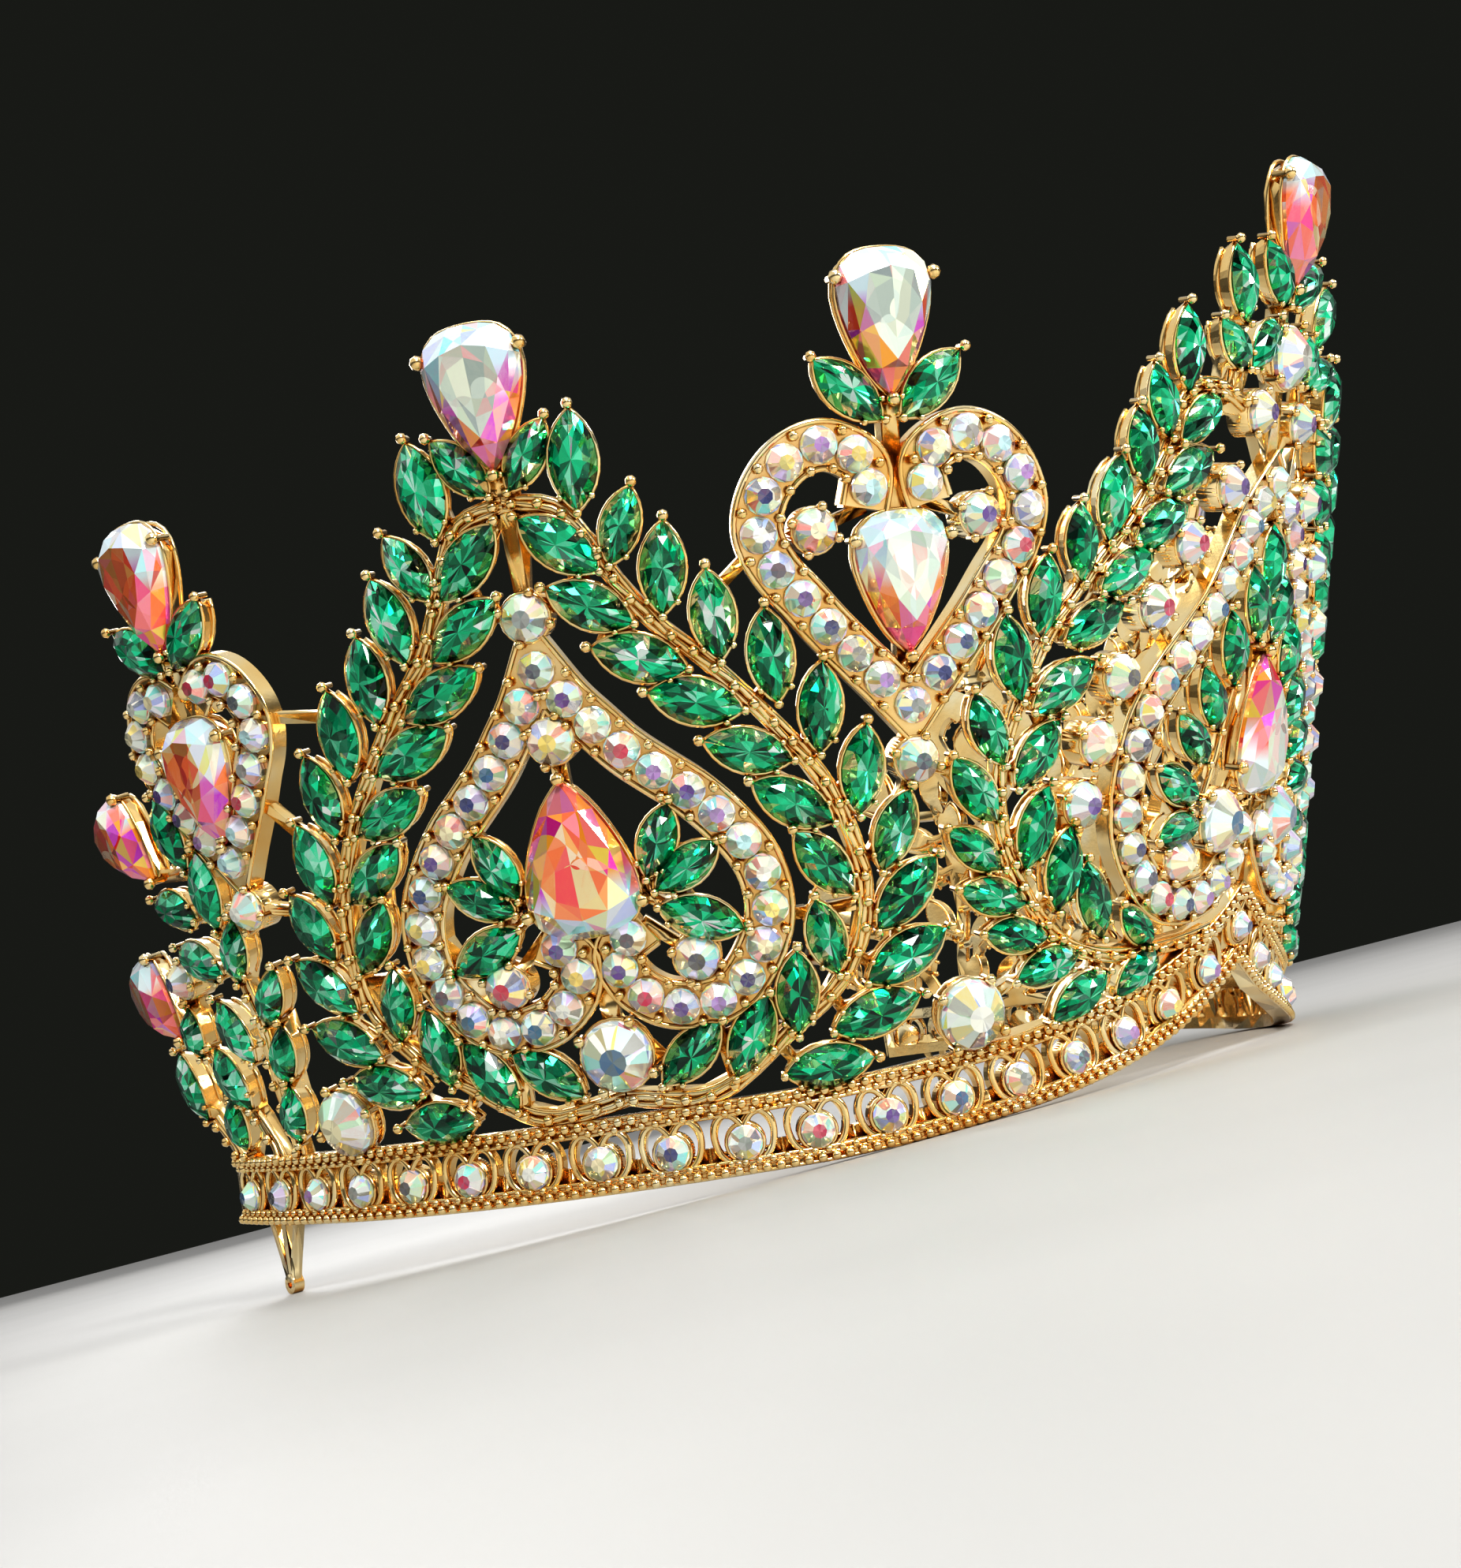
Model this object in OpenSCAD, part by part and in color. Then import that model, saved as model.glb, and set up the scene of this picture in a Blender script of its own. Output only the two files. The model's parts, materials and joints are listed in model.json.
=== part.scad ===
// Pageant crown: an open-backed round band that carries a tall wreath at the front,
// a wreath at each side, four hearts between them and a leaf spray at each rear end.
// Millimetres. Drawn upright round its own axis, then rested on the band and the two rear loops.

/* [Wall] */
// Radius of the wall where the stones sit
crown_r = 93; // [85:1:100]
// Outward lean of the wall at the front, rise to run
lean_front = 0.28; // [0.15:0.01:0.35]
// Outward lean of the wall at the rear
lean_rear = 0.22; // [0.15:0.01:0.35]
// Height over the band line where the lean starts
lean_from = 7; // [5:0.5:10]

/* [Band] */
// Half of the band's arc in degrees
band_arc = 108; // [100:1:114]
// Height of the band
band_h = 9.8; // [9:0.2:11]
// Middle of the band over the line that the panels are measured from
band_mid = 0.9; // [0:0.1:2]
// Rise of the band at the front point
peak_h = 16.3; // [12:0.1:18]
// Arc length over which the rise dies away
peak_reach = 26; // [20:0.5:32]
// Depth that the fading curve is sunk by, so that the rise ends at zero
peak_tail = 1; // [0.5:0.1:2]
// Width of each edge rail
rail_w = 2.2; // [1.8:0.1:2.8]
// Depth of the rails and of the pierced strips
rail_d = 2.6; // [2:0.1:3.2]
// Ring motifs along the band
ring_count = 37; // [33:2:39]
// Outer radius of a ring motif
ring_r = 4.1; // [3.8:0.05:4.3]
// Wire width of a ring motif
ring_wire = 0.7; // [0.5:0.05:1]
// Radius of a band stone's bezel
band_bezel_r = 2.7; // [2.4:0.05:2.9]
// Drop of the bezel inside its ring
band_bezel_drop = 0.8; // [0.6:0.05:1.1]

/* [Settings] */
// Height of the stone cups
cup_h = 3.2; // [2.6:0.1:4]
// Metal left round a stone
rim = 0.45; // [0.3:0.05:0.6]
// Clearance between a stone and its seat
seat_gap = 0.1; // [0.05:0.01:0.2]
// Leaf stone width as a share of its length
leaf_wide = 0.47; // [0.4:0.01:0.5]
// Height of a leaf stone
leaf_stone_h = 1.5; // [1:0.1:2]
// Height of a pear or round stone
stone_h = 2.2; // [1.5:0.1:3]
// Width of the wreath stems
stem_w = 2.2; // [1.8:0.1:2.8]
// Width of the strips that hold the small stones
pave_w = 5.5; // [5:0.1:6]
// Width of the small bars between motifs
bar_w = 1.5; // [1.2:0.1:2]
// Height of the same bars
bar_h = 1.7; // [1.4:0.1:2]

/* [Stones] */
// Length of the drop stones on the finials and in the hearts
pear_l = 17; // [15:0.5:18]
// Width of the same stones
pear_w = 11.8; // [10:0.2:13]
// Length of the large drop in the front and side panels
big_pear_l = 19.5; // [18:0.5:21]
// Width of the large drop in a side panel
side_pear_w = 14; // [12:0.2:15]
// Width of the large drop in the front panel
front_pear_w = 12; // [11:0.2:13]
// Length of the drops in the rear spray
rear_pear_l = 14; // [12:0.5:15]
// Radius of the large round stones
round_r = 4.4; // [4:0.1:4.8]
// Radius of the middle round stones' bezels
mid_bezel_r = 3.4; // [3:0.1:3.8]

/* [Front panel] */
// Half width of the front wreath
front_w = 55; // [52:0.5:57]
// Height of the front panel to the leaves under its top stone
front_h = 110; // [100:1:118]

/* [Side panels] */
// Arc distance of a side panel's axis from the front
side_at = 99.5; // [98:0.5:101]
// Half width of the side wreath
side_w = 43; // [41:0.5:44]
// Height of the side wreath
side_h = 92; // [86:1:98]

/* [Hearts] */
// Arc distance of the front heart's axis
heart_at = 58.5; // [57:0.5:60]
// Half width of the front heart's strip
heart_w = 15.3; // [14:0.1:16]
// Height of the front heart's lower point
heart_up = 50.7; // [48:0.5:53]
// Height of the front heart's strip
heart_h = 33; // [31:0.5:35]
// Arc distance of the rear heart's axis
rear_heart_at = 148; // [147:0.5:150]
// Half width of the rear heart's strip
rear_heart_w = 11.2; // [10.6:0.1:12]
// Height of the rear heart's lower point
rear_heart_up = 46.5; // [45:0.5:48]
// Height of the rear heart's strip
rear_heart_h = 25; // [23:0.5:27]
// Drop of the round stone under a heart's point
heart_drop = 6; // [5:0.1:7]

/* [Rear] */
// Arc distance of the middle of the rear spray
spray_at = 163; // [162:0.5:164]
// Half width of the rear spray
spray_w = 22; // [20:0.5:23]
// Height of the rear spray
spray_h = 60; // [56:1:64]
// Arc distance of the rear hair loop
loop_at = 163; // [160:0.5:166]
// Depth of the rear hair loop under the band
loop_drop = 10; // [8:0.5:13]
// Width of the rear hair loop at the band
loop_w = 8; // [6:0.5:10]
// Depth of the loop's inner face behind the stones
loop_back = 2.2; // [1.8:0.1:2.6]

/* [Hidden] */
$fn = 48;
band_end = crown_r * band_arc * PI / 180;
ring_step = 2 * band_end / ring_count;
rail_off = (band_h - rail_w) / 2;
cup_low = -cup_h;
bar_low = 0.6 - cup_h;
bar_lap = 0.4;

// Side wreath, right half, mirrored. Columns: root across, root up, tip across, tip up,
// in percent of the panel's half width and height.
side_leaves = [
    [18, 87.5, 20, 100], [23.5, 80, 31, 89], [34, 72.5, 37.5, 84], [46.5, 65.5, 46, 77],
    [59.5, 59, 59, 71], [69, 51.5, 72, 63], [78, 42.5, 82, 54], [83, 34.5, 92.5, 44.5],
    [80.5, 26.5, 98.5, 35], [76, 19.5, 100, 25], [64.5, 13.5, 90.5, 16.5], [48.5, 8.5, 74.5, 9],
    [20, 79.5, 3.5, 87.5], [26, 72, 7, 78], [37.5, 65, 15.5, 69.5], [50, 58.5, 27.5, 62.5],
    [61, 51, 39.5, 55], [70, 42, 50.5, 48.5], [73.5, 32, 60, 41], [67, 21.5, 63, 31.5],
    [53.5, 14, 56, 25], [34, 9.5, 46, 19.5], [12.5, 10, 31, 17]];
// Leaves beside the large drop, then the leaf under the finial.
side_spray = [[18.5, 38.5, 27, 47.5], [20.5, 36.5, 38.5, 41.5], [20.5, 34, 42, 29.5]];
side_stem = [
    [0, 8.5], [12, 7.5], [24, 7], [36, 9], [51, 14], [65, 18.5], [75, 25], [78, 31.5],
    [76.5, 38], [72, 45], [64, 52], [53.5, 59], [42, 66], [31.5, 71.5], [24, 77.5], [19, 83], [12, 88.5], [0, 90]];
// Strip of small stones round the large drop. Columns: across, up.
side_strip = [
    [0, 69], [6, 63.5], [12, 59.5], [18.5, 55.5], [26, 52], [34, 48.5], [41, 44.5], [47, 40],
    [50, 35.5], [50, 30.5], [46, 26], [38, 21.5], [28, 20], [16.5, 21], [8, 24.5], [6, 29], [15, 32]];

// Front wreath, right half, mirrored. Columns as in the side wreath.
front_leaves = [
    [41, 14, 54.5, 9.5], [58.5, 12.5, 74.5, 8], [67.5, 15.5, 84.5, 13.5], [76.5, 18, 92.5, 19.5],
    [82, 22.5, 98, 25], [88, 27, 100, 32], [88.5, 32.5, 98, 40], [86.5, 39, 92.5, 47],
    [81.5, 46, 84.5, 55.5], [76, 53, 74, 62], [65.5, 59, 66, 67.5], [58.5, 63.5, 55.5, 73],
    [48.5, 70, 51, 78.5], [42, 75.5, 46.5, 83.5], [36.5, 81, 38, 90.5], [18, 90, 23.5, 98.5],
    [43.5, 15, 53, 20], [60, 17, 64.5, 26], [73, 21, 69, 30.5], [81.5, 26.5, 75, 35.5],
    [83, 36, 72, 43], [78.5, 44.5, 62.5, 49.5], [70, 52, 54.5, 56], [60.5, 57.5, 46, 62],
    [51, 63, 36, 67.5], [43, 69, 28, 74], [38, 75, 26.5, 80.5], [17.5, 84.5, 27, 89.5],
    [15, 84.5, 6.5, 91]];
// Fan round the front drop: the leaf on the axis, then one side of the rest.
front_fan_top = [0, 57, 0, 66];
front_fan = [
    [4, 51.5, 8.5, 60.5], [14, 46, 17, 55], [20, 40.5, 27, 48], [24.5, 36.5, 35.5, 42.5],
    [27.5, 32, 42.5, 36], [27, 29.5, 41.5, 27.5]];
front_fan_stem = [[0, 56], [7, 50], [13, 44], [17, 38], [20.5, 34], [24, 30]];
front_stem = [
    [12, 15.5], [26, 14.5], [42, 14], [58.5, 14.5], [71, 17], [79.5, 22], [84.5, 27.5], [87, 33.5], [86, 39],
    [82, 45], [76.5, 50.5], [70, 55.5], [62, 60], [54, 64.5], [46.5, 69.5], [41, 75], [37, 80.5], [26, 82], [14, 80]];
front_strip = [
    [0, 72], [9.5, 67], [15.5, 62], [22, 56.5], [30, 52], [39, 47.5], [46, 43], [50, 38], [52, 33],
    [51.5, 28.5], [48, 24.5], [42, 21], [35, 19.5], [27, 19.5], [19, 20.5], [12, 23.5], [7, 26.5], [4.5, 30]];
// Middle round stones beside the front strip. Columns: across, up.
front_bezels = [[20.5, 70], [34, 63], [44.5, 55.5], [54.5, 47.5], [61, 40], [65.5, 33], [33.5, 24.8], [10.5, 79.5]];

// Heart strip, right half. The first row is the inward curl. Columns: across, up.
heart_strip = [
    [24, 76], [20, 91], [46, 100], [72, 97], [92, 86], [100, 72], [91, 58], [74, 46], [57, 34], [39, 23],
    [20, 12], [0, 0]];

// Rear spray, drawn on the far side. Columns: root across, root up, tip across, tip up,
// in percent of the spray's half width and height from its middle.
rear_leaves = [
    [-21, 80, -11, 97], [-33, 65, -36, 83], [-14, 68, 28, 75], [-22, 54, 19, 62.5], [-38, 52, -50, 66],
    [-52, 41, -74, 53], [-24, 33, -4, 48], [46, 36, 42, 48], [-52, 27, -64, 40], [0, 22, 22, 37],
    [82, 20, 98, 37], [-46, 13, -52, 26], [28, 12, 22, 25]];
rear_stems = [
    [[-38, 7], [-36, 25], [-40, 42], [-33, 58], [-26, 74], [-18, 80]],
    [[-16, 7], [0, 18], [20, 27], [36, 33], [52, 38], [70, 40]],
    [[34, 6], [56, 12], [76, 19]]];
rear_pears = [[22, 80, 58, 99], [72, 42, 106, 60]];

// Outline of a drop stone, right half from the point round to the back.
// Columns: across in percent of its width, along in percent of its length.
pear_half = [[0, -50], [24, -22], [41, 2], [50, 22], [44, 38], [25, 47.5], [0, 50]];
// Outline of a leaf stone. Columns: along in percent of its length, across in percent of its width.
leaf_outline = [[50, 0], [28, 34], [0, 50], [-28, 34], [-50, 0], [-28, -34], [0, -50], [28, -34]];
round_outline = [for (i = [0:9]) [50 * cos(36 * i), 50 * sin(36 * i)]];

pear_outline = concat(
    [for (i = [0:len(pear_half) - 1]) pear_half[i]],
    [for (i = [len(pear_half) - 2:-1:1]) [-pear_half[i][0], pear_half[i][1]]]);

// Wall: across is arc length to the viewer's right, up is height over the band line.
function lean(x) = lean_front + (lean_rear - lean_front) * min(abs(x) / rear_heart_at, 1);
function wall_r(x, z) = crown_r + lean(x) * max(z - lean_from, 0);
function tip_angle(x, z) = z > lean_from ? atan(lean(x)) : 0;
function turn_about(x) = x / crown_r * 180 / PI;
function wall_pt(x, z, out) =
    let (b = tip_angle(x, z), r = wall_r(x, z) + out * cos(b), a = turn_about(x))
    [r * sin(a), -r * cos(a), z - out * sin(b)];
// Real step on the wall between two places.
function step(a, b) =
    let (m = (a + b) / 2)
    [(b.x - a.x) * wall_r(m.x, m.y) / crown_r, (b.y - a.y) / cos(tip_angle(m.x, m.y))];
peak_end = peak_reach * ln((peak_h + peak_tail) / peak_tail);
function rise(x) = max((peak_h + peak_tail) * exp(-abs(x) / peak_reach) - peak_tail, 0);
function slope(x) = abs(x) < peak_end ? atan((rise(x) + peak_tail) / peak_reach) : 0;
function rail_up(x, side) = band_mid + rise(x) + side * rail_off / cos(slope(x));
function place(p, at, w, h, m) = [at + m * p[0] * w / 100, p[1] * h / 100];
function places(list, at, w, h, m) = [for (p = list) place(p, at, w, h, m)];
function pairs(list, at, w, h, m) =
    [for (p = list) [place([p[0], p[1]], at, w, h, m), place([p[2], p[3]], at, w, h, m)]];
function fill(path) = [for (i = [0:len(path) - 2]) for (t = [0:0.25:0.99]) path[i] * (1 - t) + path[i + 1] * t];
function nearest(list, p) =
    let (d = [for (q = list) norm(step(p, q))], m = min(d))
    [for (i = [0:len(d) - 1]) if (d[i] <= m) list[i]][0];

// Panels in wall places.
front_all = concat(pairs(front_leaves, 0, front_w, front_h, 1), pairs(front_leaves, 0, front_w, front_h, -1));
front_inner = concat(pairs(front_fan, 0, front_w, front_h, 1), pairs(front_fan, 0, front_w, front_h, -1),
    pairs([front_fan_top], 0, front_w, front_h, 1));
function side_all(s) = concat(pairs(side_leaves, s * side_at, side_w, side_h, 1),
    pairs(side_leaves, s * side_at, side_w, side_h, -1));
function side_inner(s) = concat(pairs(side_spray, s * side_at, side_w, side_h, 1),
    pairs(side_spray, s * side_at, side_w, side_h, -1));
function rear_all(s) = pairs(rear_leaves, s * spray_at, spray_w, spray_h, s);
function heart_pts(at, w, up, h, m, from) =
    [for (i = [from:len(heart_strip) - 1]) [at + m * heart_strip[i][0] * w / 100, up + heart_strip[i][1] * h / 100]];
finial_up = [front_h * 0.925, side_h * 0.905, heart_up + heart_h + 1.5, rear_heart_up + rear_heart_h + 1.5];
finial_spread = [front_w * 0.125, side_w * 0.135, heart_w * 0.5, rear_heart_w * 0.75];
function finial_leaves(x, i) = let (z = finial_up[i])
    [for (m = [-1, 1]) [[x + m * 1.2, z + 1], [x + m * finial_spread[i], z + 8.2]]];
function finial_pear(z) = z + 3.6 + pear_l / 2;

// Rest: the wall tips forward until the rear loops and the band's lower edge meet the floor.
loop_tip = wall_pt(loop_at, band_mid - band_h / 2 - loop_drop, -loop_back);
edge_pts = [for (x = [0:0.5:band_end]) wall_pt(x, rail_up(x, -1) - rail_w / 2 / cos(slope(x)), 0)];
rest_slope = min([for (p = edge_pts) if (p.y < loop_tip.y - 20) (p.z - loop_tip.z) / (loop_tip.y - p.y)]);
rest_turn = atan(rest_slope);
rest_up = -(loop_tip.z + rest_slope * loop_tip.y) * cos(rest_turn);
function rested_y(p) = p.y * cos(rest_turn) - p.z * sin(rest_turn);
function drop_pts(c, turn, l, w, grow, out) =
    [for (p = pear_outline) let (u = p[0] * (w + grow) / 100, v = p[1] * (l + grow) / 100)
        wall_pt(c.x + (u * cos(turn) - v * sin(turn)) * crown_r / wall_r(c.x, c.y),
            c.y + (u * sin(turn) + v * cos(turn)) * cos(tip_angle(c.x, c.y)), out)];
front_y = min([for (p = drop_pts([0, finial_pear(finial_up[0])], 0, pear_l * 0.52, pear_w * 0.52, 0,
    seat_gap + stone_h)) rested_y(p)]);
low_drop = pairs([rear_pears[1]], spray_at, spray_w, spray_h, 1)[0];
low_step = step(low_drop[0], low_drop[1]);
rear_y = max([for (p = drop_pts((low_drop[0] + low_drop[1]) / 2, atan2(low_step.y, low_step.x) - 90,
    rear_pear_l, rear_pear_l * 0.7, 2.4 * rim, 0)) rested_y(p)]);
middle_y = (front_y + rear_y) / 2;

module rested() {
    translate([0, -middle_y, rest_up]) rotate([rest_turn, 0, 0]) children();
}

module at_wall(x, z, turn = 0) {
    rotate([0, 0, turn_about(x)])
        translate([0, -wall_r(x, z), z])
            rotate([90 + tip_angle(x, z), 0, 0])
                rotate([0, 0, turn])
                    children();
}

// A strip that follows a path on the wall, between two depths.
module strip(path, half, low, top, half_top) {
    n = len(path);
    pts = [for (i = [0:n - 1]) let (
        a = path[max(i - 1, 0)],
        b = path[min(i + 1, n - 1)],
        d = step(a, b) / norm(step(a, b)),
        m = wall_r(path[i].x, path[i].y) / crown_r,
        c = cos(tip_angle(path[i].x, path[i].y)),
        s = [-d.y / m, d.x * c])
        for (q = [[half, low], [-half, low], [-half_top, top], [half_top, top]])
            wall_pt(path[i].x + s.x * q[0], path[i].y + s.y * q[0], q[1])];
    sides = [for (i = [0:n - 2]) for (k = [0:3]) let (a = i * 4 + k, b = i * 4 + (k + 1) % 4)
        for (f = [[a, b, b + 4], [a, b + 4, a + 4]]) f];
    e = 4 * (n - 1);
    caps = [[0, 3, 2], [0, 2, 1], [e, e + 1, e + 2], [e, e + 2, e + 3]];
    polyhedron(pts, concat(sides, caps));
}

// A bar between two places. Bars in line differ in grow, so that they share no face.
module bar(a, b, w = bar_w, grow = 0) {
    s = step(a, b);
    m = (a + b) / 2;
    l = norm(s) + 2 * bar_lap;
    at_wall(m.x, m.y, atan2(s.y, s.x)) translate([-l / 2, -w / 2, bar_low - grow])
        cube([l, w, bar_h + 2 * grow]);
}

module lens(l, w) {
    r = (l * l + w * w) / (4 * w);
    intersection() {
        translate([0, r - w / 2]) circle(r, $fn = 96);
        translate([0, w / 2 - r]) circle(r, $fn = 96);
    }
}

module cut_stone(outline, l, w, h, back, levels) {
    n = len(outline);
    k = len(levels);
    pts = [for (v = levels) for (p = outline)
        [p[0] * l / 100 * v[0], (p[1] * v[0] + back * (1 - v[0])) * w / 100, v[1] * h]];
    sides = [for (j = [0:k - 2]) for (i = [0:n - 1]) let (a = j * n + i, b = j * n + (i + 1) % n)
        [b, a, a + n, b + n]];
    polyhedron(pts, concat([[for (i = [0:n - 1]) i]], sides, [[for (i = [n - 1:-1:0]) (k - 1) * n + i]]));
}

module leaf_cup(pair) {
    s = step(pair[0], pair[1]);
    m = (pair[0] + pair[1]) / 2;
    l = norm(s);
    at_wall(m.x, m.y, atan2(s.y, s.x)) translate([0, 0, cup_low])
        linear_extrude(cup_h) lens(l + 3 * rim, l * leaf_wide + 2 * rim);
}

module leaf_stone(pair) {
    s = step(pair[0], pair[1]);
    m = (pair[0] + pair[1]) / 2;
    l = norm(s) - 0.3;
    at_wall(m.x, m.y, atan2(s.y, s.x)) translate([0, 0, seat_gap])
        cut_stone(leaf_outline, l, l * leaf_wide, leaf_stone_h, 0, [[1, 0], [0.56, 1]]);
}

module pear_cup(x, z, turn, l, w) {
    at_wall(x, z, turn) translate([0, 0, cup_low]) linear_extrude(cup_h)
        polygon([for (p = pear_outline) [p[0] * (w + 2.4 * rim) / 100, p[1] * (l + 2.4 * rim) / 100]]);
}

module pear_stone(x, z, turn, l, w) {
    at_wall(x, z, turn) translate([0, 0, seat_gap])
        cut_stone(pear_outline, w, l, stone_h, 14, [[1, 0], [0.8, 0.6], [0.52, 1]]);
}

module round_cup(x, z, r) {
    at_wall(x, z) translate([0, 0, cup_low]) cylinder(h = cup_h, r = r);
}

module round_stone(x, z, r) {
    at_wall(x, z) translate([0, 0, seat_gap])
        cut_stone(round_outline, 2 * r, 2 * r, stone_h, 0, [[1, 0], [0.84, 0.55], [0.54, 1]]);
}

// Leaf cups, each with a bar to the stem where its root doesn't already lie on it.
module leaf_cups(list, path) {
    anchors = fill(path);
    for (p = list) {
        leaf_cup(p);
        in = p[0] * 0.8 + p[1] * 0.2;
        if (norm(step(p[0], nearest(anchors, p[0]))) > stem_w * 0.55) bar(in, nearest(anchors, in));
    }
}

module stem(path) {
    strip(path, stem_w / 2, -2.4, -0.5, stem_w * 0.3);
}

module pave_strip(path) {
    strip(path, pave_w / 2, -rail_d, 0, pave_w / 2);
}

module band() {
    for (side = [-1, 1]) {
        strip([for (i = [-10:10]) let (x = sign(i) * (peak_end + 1) * pow(abs(i) / 10, 1.3)) [x, rail_up(x, side)]],
            rail_w / 2, -rail_d, 0, rail_w / 2);
        for (m = [-1, 1])
            rotate([0, 0, m > 0 ? turn_about(peak_end) - 90 : -turn_about(band_end) - 90])
                rotate_extrude(angle = turn_about(band_end - peak_end))
                    translate([crown_r - rail_d + 0.05, rail_up(band_end, side) - rail_w / 2 + 0.05])
                        square([rail_d - 0.1, rail_w - 0.1]);
    }
    for (i = [0:ring_count - 1]) {
        x = -band_end + (i + 0.5) * ring_step;
        at_wall(x, band_mid + rise(x), -sign(round(x)) * slope(x)) translate([0, 0, -2.2])
            linear_extrude(1.5) band_ring(i == 0 ? 1 : ring_step / 2 + 0.2, i == ring_count - 1 ? 1 : ring_step / 2 + 0.2);
    }
    for (m = [-1, 1])
        at_wall(m * (band_end - 0.6), band_mid) translate([-1.1, -band_h / 2 + 0.4, -rail_d + 0.2])
            cube([2.2, band_h - 0.8, rail_d - 0.4]);
}

// Ring with its bezel, a post over the bezel and a wire to each neighbour.
module band_ring(before, after) {
    difference() {
        union() {
            circle(ring_r);
            translate([-before, -rail_off - 0.2]) square([before + after, rail_off - 0.8]);
        }
        circle(ring_r - ring_wire);
    }
    translate([0, -band_bezel_drop]) circle(band_bezel_r);
    translate([-0.5, 0.5]) square([1, ring_r - 0.6]);
}

module hair_loop(s) {
    z0 = band_mid - band_h / 2;
    x0 = s * loop_at;
    for (k = [-1, 0, 1])
        strip([[x0 + k * loop_w / 2, z0 + 1], [x0 + k * loop_w / 5, z0 - loop_drop * 0.5], [x0 + k * 0.4, z0 - loop_drop + 1.6]],
            0.6, -2, -0.8, 0.6);
    at_wall(x0, z0 - loop_drop + 1.4) translate([0, 0, -loop_back]) difference() {
        cylinder(h = 1.6, r = 1.4);
        translate([0, 0, -1]) cylinder(h = 4, r = 0.6);
    }
}

module finial_metal(x, i) {
    z = finial_up[i];
    pear_cup(x, finial_pear(z), 0, pear_l, pear_w);
    for (p = finial_leaves(x, i)) leaf_cup(p);
    bar([x, z - 3], [x, z + 6], 2.4, 0.2);
}

module heart_metal(at, w, up, h, from) {
    for (m = [-1, 1]) pave_strip(heart_pts(at, w, up, h, m, from));
    bar([at, up + h * 0.66], [at, up + h + 3], 2);
    bar([at, up + h * 0.3], [at, up - 2], 2.4, 0.1);
    pear_cup(at, up + h * 0.48, 0, pear_l, pear_w);
    round_cup(at, up - heart_drop, mid_bezel_r - 0.3);
    bar([at, up - heart_drop], [at, up], 2);
    if (from == 0)
        for (m = [-1, 1]) {
            q = [at + m * w * 0.61, up + h * 0.7];
            round_cup(q.x, q.y, mid_bezel_r - 0.4);
            bar(q, [at + m * w * 0.24, up + h * 0.76]);
        }
}

module front_metal() {
    for (m = [-1, 1]) {
        path = places(front_stem, 0, front_w, front_h, m);
        stem(path);
        pave_strip(places(front_strip, 0, front_w, front_h, m));
        leaf_cups(pairs(front_leaves, 0, front_w, front_h, m), path);
        fan = places(front_fan_stem, 0, front_w, front_h, m);
        strip(fan, 1.6, -rail_d, -0.9, 1.6);
        leaf_cups(pairs(front_fan, 0, front_w, front_h, m), fan);
        ogive = fill(places(front_strip, 0, front_w, front_h, m));
        tips = [for (p = pairs(front_leaves, 0, front_w, front_h, m)) p[1] * 0.85 + p[0] * 0.15];
        for (p = front_bezels) {
            q = place(p, 0, front_w, front_h, m);
            round_cup(q.x, q.y, mid_bezel_r);
            bar(q, nearest(ogive, q));
            bar(q, nearest(tips, q));
        }
        q = place([17, 29], 0, front_w, front_h, m);
        round_cup(q.x, q.y, round_r + 1.2 * rim);
        bar(q, nearest(ogive, q), 2);
        bar(q, place([0, 40], 0, front_w, front_h, m), 2);
    }
    leaf_cup(front_inner[len(front_inner) - 1]);
    pear_cup(0, front_h * 0.41, 180, big_pear_l, front_pear_w);
    bar([0, front_h * 0.3], [0, peak_h + band_mid + 2], 4);
    bar([0, front_h * 0.48], [0, front_h * 0.7], 2.4);
    bar([0, front_h * 0.7], [0, finial_up[0]], 4, 0.1);
    round_cup(0, front_h * 0.87, round_r + 1.2 * rim);
    finial_metal(0, 0);
}

module side_metal(s) {
    at = s * side_at;
    for (m = [-1, 1]) {
        path = places(side_stem, at, side_w, side_h, m);
        stem(path);
        pave_strip(places(side_strip, at, side_w, side_h, m));
        leaf_cups(pairs(side_leaves, at, side_w, side_h, m), path);
        for (p = pairs(side_spray, at, side_w, side_h, m)) {
            leaf_cup(p);
            bar(p[0] * 0.8 + p[1] * 0.2, [at + m * side_pear_w * 0.38, side_h * 0.37]);
        }
        c = place([28, 26.5], at, side_w, side_h, m);
        round_cup(c.x, c.y, mid_bezel_r - 0.2);
        bar(c, place([15, 32], at, side_w, side_h, m));
        bar(place([50, 30], at, side_w, side_h, m), place([74, 30], at, side_w, side_h, m));
        bar(place([30, 18], at, side_w, side_h, m), place([33, 8.5], at, side_w, side_h, m));
        bar(place([3, 27], at, side_w, side_h, m), place([0, 38], at, side_w, side_h, m), 3);
    }
    round_cup(at, side_h * 0.148, round_r + 1.2 * rim);
    round_cup(at, side_h * 0.75, mid_bezel_r - 0.1);
    round_cup(at, side_h * 0.585, mid_bezel_r - 0.1);
    pear_cup(at, side_h * 0.423, 180, big_pear_l, side_pear_w);
    bar([at, side_h * 0.45], [at, side_h * 0.68], 2);
    bar([at, side_h * 0.72], [at, finial_up[1]], 2);
    bar([at, side_h * 0.08], [at, side_h * 0.24], 2.4);
    finial_metal(at, 1);
}

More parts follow.
